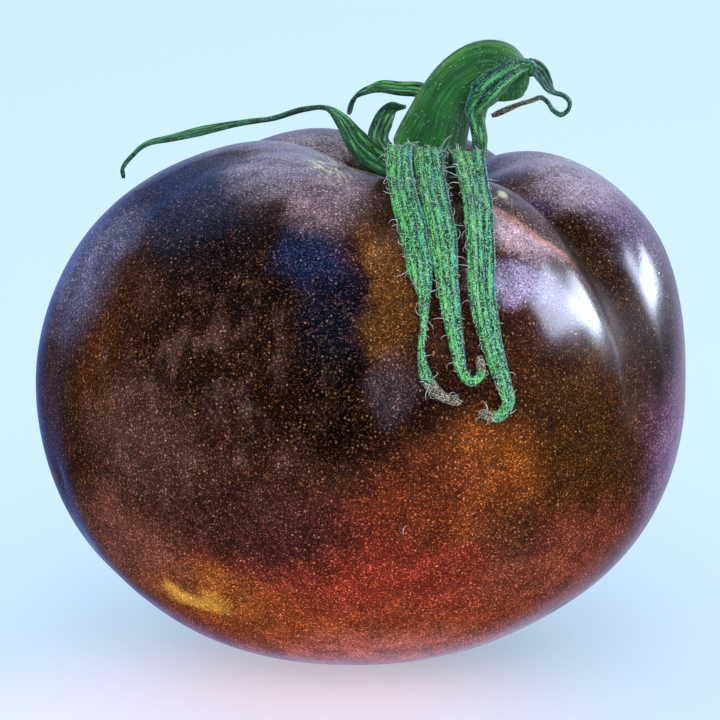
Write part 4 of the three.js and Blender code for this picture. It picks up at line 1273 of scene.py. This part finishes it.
@dataclass
class Hairs:
    """All hairs of the calyx and the stem, as thin three-sided threads. Sizes are in mm."""

    stem: Stem
    calyx: Calyx
    finish: PlantHair = PlantHair()
    root_radius: float = 0.05
    least_radius: float = 0.4
    radius_gain: float = 0.45
    root_depth: float = 0.1
    taper: float = 0.6
    wander: float = 0.12
    joints: int = 5
    sides: int = 3
    edge_pitch: float = 1.7
    face_hairs: float = 2.2
    nap_hairs: float = 5.0
    nap_least: float = 0.35
    nap_gain: float = 0.65
    bare_root: float = 0.12
    face_reach: float = 0.95
    tilt: float = 0.5
    edge_lift: Pair = (0.3, 0.6)
    edge_lengths: tuple[float, ...] = (0.35, 0.6, 1.0, 1.35)
    edge_uneven: Pair = (0.8, 1.15)
    face_lengths: Pair = (0.4, 0.9)
    nap_lengths: Pair = (0.18, 0.36)
    stem_hairs: int = 700
    stem_reach: Pair = (0.05, 0.99)
    stem_lengths: Pair = (0.25, 0.55)
    sepal_kink: float = 0.42
    stem_kink: float = 0.3
    single_kink: float = 0.25
    single_hairs: tuple[tuple[Triple, Triple, float], ...] = (
        ((9.3, -15.8, 65.1), (0.25, -0.2, 0.95), 2.2),
        ((4.6, -37.0, 24.4), (-0.4, -0.3, 0.85), 1.3),
    )
    seed: int = 5

    def build(self) -> Piece:
        """Grow every hair as one piece, dress it and return it."""
        draw = random.Random(self.seed)
        threads: list[np.ndarray] = []
        for sepal in SEPALS:
            threads += self.on_sepal(sepal, draw)
        threads += self.on_stem(draw)
        for root, way, length in self.single_hairs:
            threads.append(self.thread(np.array(root), np.array(way), length, self.single_kink, draw))
        piece = self.mesh_of(threads)
        finish_piece(piece, self.finish.make())
        return piece

    def thread(self, root: np.ndarray, way: np.ndarray, length: float, kink: float,
               draw: random.Random) -> np.ndarray:
        """Return one hair's points: a path that wanders from its first direction.

        Args:
            root: Where it grows, in mm.
            way: Its first direction.
            length: Its length in mm.
            kink: How strongly it curls, 0 to 1.
            draw: Source of seeded random numbers.

        Returns:
            Rows of points in mm, from root to tip.
        """
        points = [root - way * self.root_depth]
        heading = way / np.linalg.norm(way)
        curl = kink * np.array([draw.gauss(0, 1) for _ in range(3)])
        for _ in range(self.joints):
            wander = self.wander * np.array([draw.gauss(0, 1) for _ in range(3)])
            heading = heading + np.cross(curl, heading) + wander
            heading /= np.linalg.norm(heading)
            points.append(points[-1] + heading * length / self.joints)
        return np.array(points)

    def on_sepal(self, sepal: Sepal, draw: random.Random) -> list[np.ndarray]:
        """Return the hairs of one sepal: long ones on its edges, some on its face, and a short nap."""
        reach = sepal.reach()
        length = reach[-1]
        counts = {
            HairKind.EDGE: int(2 * length / self.edge_pitch),
            HairKind.FACE: int(length * self.face_hairs * sepal.fuzz),
            HairKind.NAP: int(length * self.nap_hairs * (self.nap_least + self.nap_gain * sepal.fuzz)),
        }
        threads = []
        for kind, count in counts.items():
            if not count:
                continue
            along = [draw.uniform(self.bare_root, 1) * length for _ in range(count)]
            strip = Strip.of(sepal, np.interp(along, reach, np.arange(len(reach))))
            threads += [self.sepal_hair(sepal, strip, k, kind, draw) for k in range(count)]
        return threads

    def sepal_hair(self, sepal: Sepal, strip: Strip, k: int, kind: HairKind,
                   draw: random.Random) -> np.ndarray:
        """Return one hair of a sepal.

        Args:
            sepal: The sepal.
            strip: The sepal's frame at the hairs' places.
            k: Number of this hair's place.
            kind: Where it grows and how long it is.
            draw: Source of seeded random numbers.

        Returns:
            Rows of points in mm, from root to tip.
        """
        side = draw.choice((-1, 1))
        mark = side if kind is HairKind.EDGE else draw.uniform(-self.face_reach, self.face_reach)
        half, fold = strip.wide[k] / 2, strip.fold[k]
        across, up, along = strip.across[k], strip.up[k], strip.along[k]
        root = strip.centre[k] + across * mark * half * math.cos(fold)
        root = root + up * abs(mark) * half * math.sin(fold)
        if kind is HairKind.EDGE:
            way = across * math.cos(fold) * side + self.tilt * up * draw.gauss(*self.edge_lift)
            way = way + self.tilt * along * draw.gauss(0, 1)
            far = sepal.hair * draw.choice(self.edge_lengths) * draw.uniform(*self.edge_uneven)
        else:
            way = up + self.tilt * across * draw.gauss(0, 1)
            way = way + self.tilt * along * draw.gauss(0, 1)
            root = root + up * self.calyx.thick / 2
            if kind is HairKind.FACE:
                far = sepal.hair * draw.uniform(*self.face_lengths)
            else:
                far = draw.uniform(*self.nap_lengths)
        return self.thread(root, way / np.linalg.norm(way), far, self.sepal_kink, draw)

    def on_stem(self, draw: random.Random) -> list[np.ndarray]:
        """Return the stem's short hairs."""
        last = len(self.stem.places) - 1
        u = np.array([draw.uniform(*self.stem_reach) * last for _ in range(self.stem_hairs)])
        angle = np.array([draw.uniform(-math.pi, math.pi) for _ in u])
        skin = self.stem.surface(u, angle, np.ones_like(u))
        core = self.stem.surface(u, angle, np.full_like(u, 0.5))
        threads = []
        for root, inner in zip(skin, core):
            way = (root - inner) / np.linalg.norm(root - inner)
            threads.append(self.thread(root, way, draw.uniform(*self.stem_lengths), self.stem_kink, draw))
        return threads

    def mesh_of(self, threads: list[np.ndarray]) -> Piece:
        """Turn hair paths into one mesh of tapered three-sided threads.

        Args:
            threads: Each hair's points in mm.

        Returns:
            The hairs' object.
        """
        sides = self.sides
        vertices, faces = [], []
        for path in threads:
            first = len(vertices)
            length = np.linalg.norm(np.diff(path, axis=0), axis=1).sum()
            radius = self.root_radius * min(1.0, self.least_radius + self.radius_gain * length)
            axis = path[-1] - path[0]
            axis /= np.linalg.norm(axis)
            other = np.cross(axis, (0.3, 0.5, 0.8))
            other /= np.linalg.norm(other)
            third = np.cross(axis, other)
            for k, point in enumerate(path[:-1]):
                size = radius * (1 - self.taper * k / self.joints)
                for j in range(sides):
                    turn = 2 * math.pi * j / sides
                    vertices.append((point + size * (math.cos(turn) * other + math.sin(turn) * third)) * MM)
            vertices.append(path[-1] * MM)
            tip = len(vertices) - 1
            for k in range(self.joints - 1):
                for j in range(sides):
                    a, b = first + k * sides + j, first + k * sides + (j + 1) % sides
                    faces.append((a, b, b + sides, a + sides))
            ring = first + (self.joints - 1) * sides
            for j in range(sides):
                faces.append((ring + j, ring + (j + 1) % sides, tip))
            faces.append(tuple(range(first + sides - 1, first - 1, -1)))
        mesh = bpy.data.meshes.new("plant_hairs")
        mesh.from_pydata([tuple(v) for v in vertices], [], faces)
        mesh.update()
        piece = bpy.data.objects.new("plant_hairs", mesh)
        bpy.context.scene.collection.objects.link(piece)
        return piece


# Studio


@dataclass(frozen=True)
class PaleTable:
    """White acrylic table top, matt and lit from below, so that shadows on it are faint.

    Its glow is pale, and warmer on a patch about 90 mm wide before the fruit: painted light
    that stands for the red fruit's bounce on the table. Sizes are in metres.
    """

    colour: str = "bccad8"
    cloudy: str = "b8c8d8"
    cloud_scale: float = 3.0
    glow: str = "a4bccc"
    fruit_bounce_glow: str = "d8c8d4"
    warm_centre: Triple = (-0.014, -0.038, 0.0)
    warm_radii: Triple = (0.046, 0.040, 1.0)
    warm_limits: Pair = (1.3, 0.3)
    strength: float = 0.8
    rough: float = 0.5

    def make(self) -> bpy.types.Material:
        """Build the table's material and return it."""
        material, tree, shader = new_material("white_acrylic_matt")
        place = add_node(tree, "ShaderNodeTexCoord").outputs["Object"]
        # Painted light: the warm patch before the fruit stands for the light that the fruit bounces onto the
        # table.
        away = radii_away(tree, place, self.warm_centre, self.warm_radii)
        near = add_node(tree, RANGE, (away, *self.warm_limits), **SMOOTH)
        cloud = add_node(tree, NOISE, (place, self.cloud_scale, 1.0))
        glow = add_node(tree, MIX, (near, linear(self.glow), linear(self.fruit_bounce_glow)), **COLOUR)
        feed(tree, shader, {
            "Base Color": add_node(tree, MIX, (cloud, linear(self.colour), linear(self.cloudy)), **COLOUR),
            "Emission Color": glow,
            "Emission Strength": self.strength,
            "Roughness": self.rough,
        })
        return material


@dataclass(frozen=True)
class Room:
    """The room about the studio: an even pale glow, with an uneven one in reflections.

    In them its front and its floor are dark, as a real room's are, and a bright wall stands
    behind the fruit, bluer at the left. Limits give a direction's range, then a strength's.
    """

    walls: str = "d4e8fb"
    dark: str = "26262c"
    ceiling: str = "c4d8f4"
    back_left: str = "4c88f0"
    back_right: str = "c8d4ff"
    right_limits: Pair = (-0.45, 0.1)
    right_share: float = 0.15
    back_limits: Pair = (0.65, 1.07)
    back_strength: float = 0.9
    up_limits: Pair = (0.2, 0.7)
    far_limits: Pair = (0.0, 0.45)
    left_limits: Limits = (-0.75, -0.1, 0.25, 1.0)
    ceiling_strength: float = 0.45

    def make(self) -> bpy.types.World:
        """Build the room's glow and return it."""
        world = bpy.data.worlds.new("soft_room")
        world.use_nodes = True
        tree = world.node_tree
        tree.nodes.clear()
        way = add_node(tree, "ShaderNodeTexCoord").outputs["Generated"]
        right, depth, up = add_node(tree, "ShaderNodeSeparateXYZ", (way,)).outputs
        rightward = add_node(tree, RANGE, (right, *self.right_limits), **SMOOTH)
        nearer = add_node(tree, MATHS, (rightward, self.right_share), operation="MULTIPLY")
        behind = add_node(tree, MATHS, (depth, nearer), operation="ADD")
        wall = add_node(tree, RANGE, (behind, *self.back_limits), **SMOOTH)
        wall = add_node(tree, MATHS, (wall, self.back_strength), operation="MULTIPLY")
        horizon = add_node(tree, MIX, (rightward, linear(self.back_left), linear(self.back_right)), **COLOUR)
        high = add_node(tree, RANGE, (up, *self.up_limits), **SMOOTH)
        for part, limits in ((depth, self.far_limits), (right, self.left_limits)):
            share = add_node(tree, RANGE, (part, *limits), **SMOOTH)
            high = add_node(tree, MATHS, (high, share), operation="MULTIPLY")
        high = add_node(tree, MATHS, (high, self.ceiling_strength), operation="MULTIPLY")
        seen = add_node(tree, MIX, (high, linear(self.dark), linear(self.ceiling)), **COLOUR)
        seen = add_node(tree, MIX, (wall, seen, horizon), **COLOUR)
        mirrored = add_node(tree, "ShaderNodeLightPath").outputs["Is Glossy Ray"]
        colour = add_node(tree, MIX, (mirrored, linear(self.walls), seen), **COLOUR)
        glow = add_node(tree, "ShaderNodeBackground", (colour, 1.0))
        add_node(tree, "ShaderNodeOutputWorld", {"Surface": glow})
        return world


@dataclass(frozen=True)
class Softbox:
    """One flat soft light that faces the fruit.

    Attributes:
        name: Its name.
        way: Direction from the fruit to it.
        distance: Its distance from the fruit in metres.
        size: Its width and height in metres.
        power: Its power in watts.
        colour: Its colour as sRGB hex.
        matt: Whether it lights matt surfaces.
        shiny: Whether shiny surfaces mirror it.
    """

    name: str
    way: Triple
    distance: float
    size: Pair
    power: float
    colour: str
    matt: bool = True
    shiny: bool = True


@dataclass
class Studio:
    """Camera, table, soft lights and room. Sizes are in mm, but the table and lights are in metres."""

    aim: Triple = (-0.3, 0.0, 36.1)
    distance: float = 450.0
    elevation: float = 13.0
    pixel_size: float = 0.1225
    sensor: float = 36.0
    table_size: float = 6.0
    lights: tuple[Softbox, ...] = (
        Softbox("key_softbox", (0.859, 0.456, 0.233), 0.7, (0.25, 0.19), 3.6, "d4e4ff", matt=False),
        Softbox("side_softbox", (0.910, 0.080, 0.407), 0.7, (0.40, 0.30), 8.5, "d0dcff", matt=False),
        Softbox("fill_softbox", (0.0, -0.88, 0.47), 1.2, (0.9, 0.9), 5.0, "fff0e8", shiny=False),
    )

    def build(self) -> None:
        """Set the whole studio up."""
        self.camera()
        self.table()
        for softbox in self.lights:
            self.light(softbox)
        bpy.context.scene.world = Room().make()
        bpy.context.scene.view_settings.view_transform = "Standard"

    def camera(self) -> None:
        """Place the camera at the photograph's angle and framing."""
        tilt = math.radians(self.elevation)
        aim = Vector(self.aim) * MM
        place = aim + Vector((0, -math.cos(tilt), math.sin(tilt))) * self.distance * MM
        data = bpy.data.cameras.new("camera")
        data.sensor_width = self.sensor
        data.lens = self.sensor * self.distance / self.pixel_size / PHOTO_PIXELS
        camera = bpy.data.objects.new("camera", data)
        camera.location = place
        camera.rotation_euler = (aim - place).to_track_quat("-Z", "Y").to_euler()
        bpy.context.scene.collection.objects.link(camera)
        bpy.context.scene.camera = camera

    def table(self) -> None:
        """Lay the pale table top under the fruit."""
        bpy.ops.object.select_all(action="DESELECT")
        bpy.ops.mesh.primitive_plane_add(size=self.table_size)
        top = bpy.context.object
        top.name = "table_top"
        top.data.materials.append(PaleTable().make())
        top.visible_glossy = False

    def light(self, softbox: Softbox) -> None:
        """Add one softbox to the scene."""
        data = bpy.data.lights.new(softbox.name, "AREA")
        data.shape = "RECTANGLE"
        data.size, data.size_y = softbox.size
        data.energy = softbox.power
        data.color = linear(softbox.colour)[:3]
        lamp = bpy.data.objects.new(softbox.name, data)
        aim = Vector(self.aim) * MM
        lamp.location = aim + Vector(softbox.way).normalized() * softbox.distance
        lamp.rotation_euler = (aim - lamp.location).to_track_quat("-Z", "Y").to_euler()
        lamp.visible_camera = False
        lamp.visible_diffuse = softbox.matt
        lamp.visible_glossy = softbox.shiny
        bpy.context.scene.collection.objects.link(lamp)


def main() -> None:
    """Build the studio and every piece, in order."""
    logging.basicConfig(level=logging.INFO, format="%(name)s: %(message)s")
    Studio().build()
    Fruit().build()
    calyx = Calyx(SepalTissue("sepal_tissue_hairy"))
    calyx.build()
    stalk = SepalTissue("stalk_tissue_hairy", living="38882c", shade="225a2c", pale="74b068", vein="78a850")
    stem = Stem(stalk)
    stem.build()
    Hairs(stem, calyx).build()


if __name__ == "__main__":
    main()
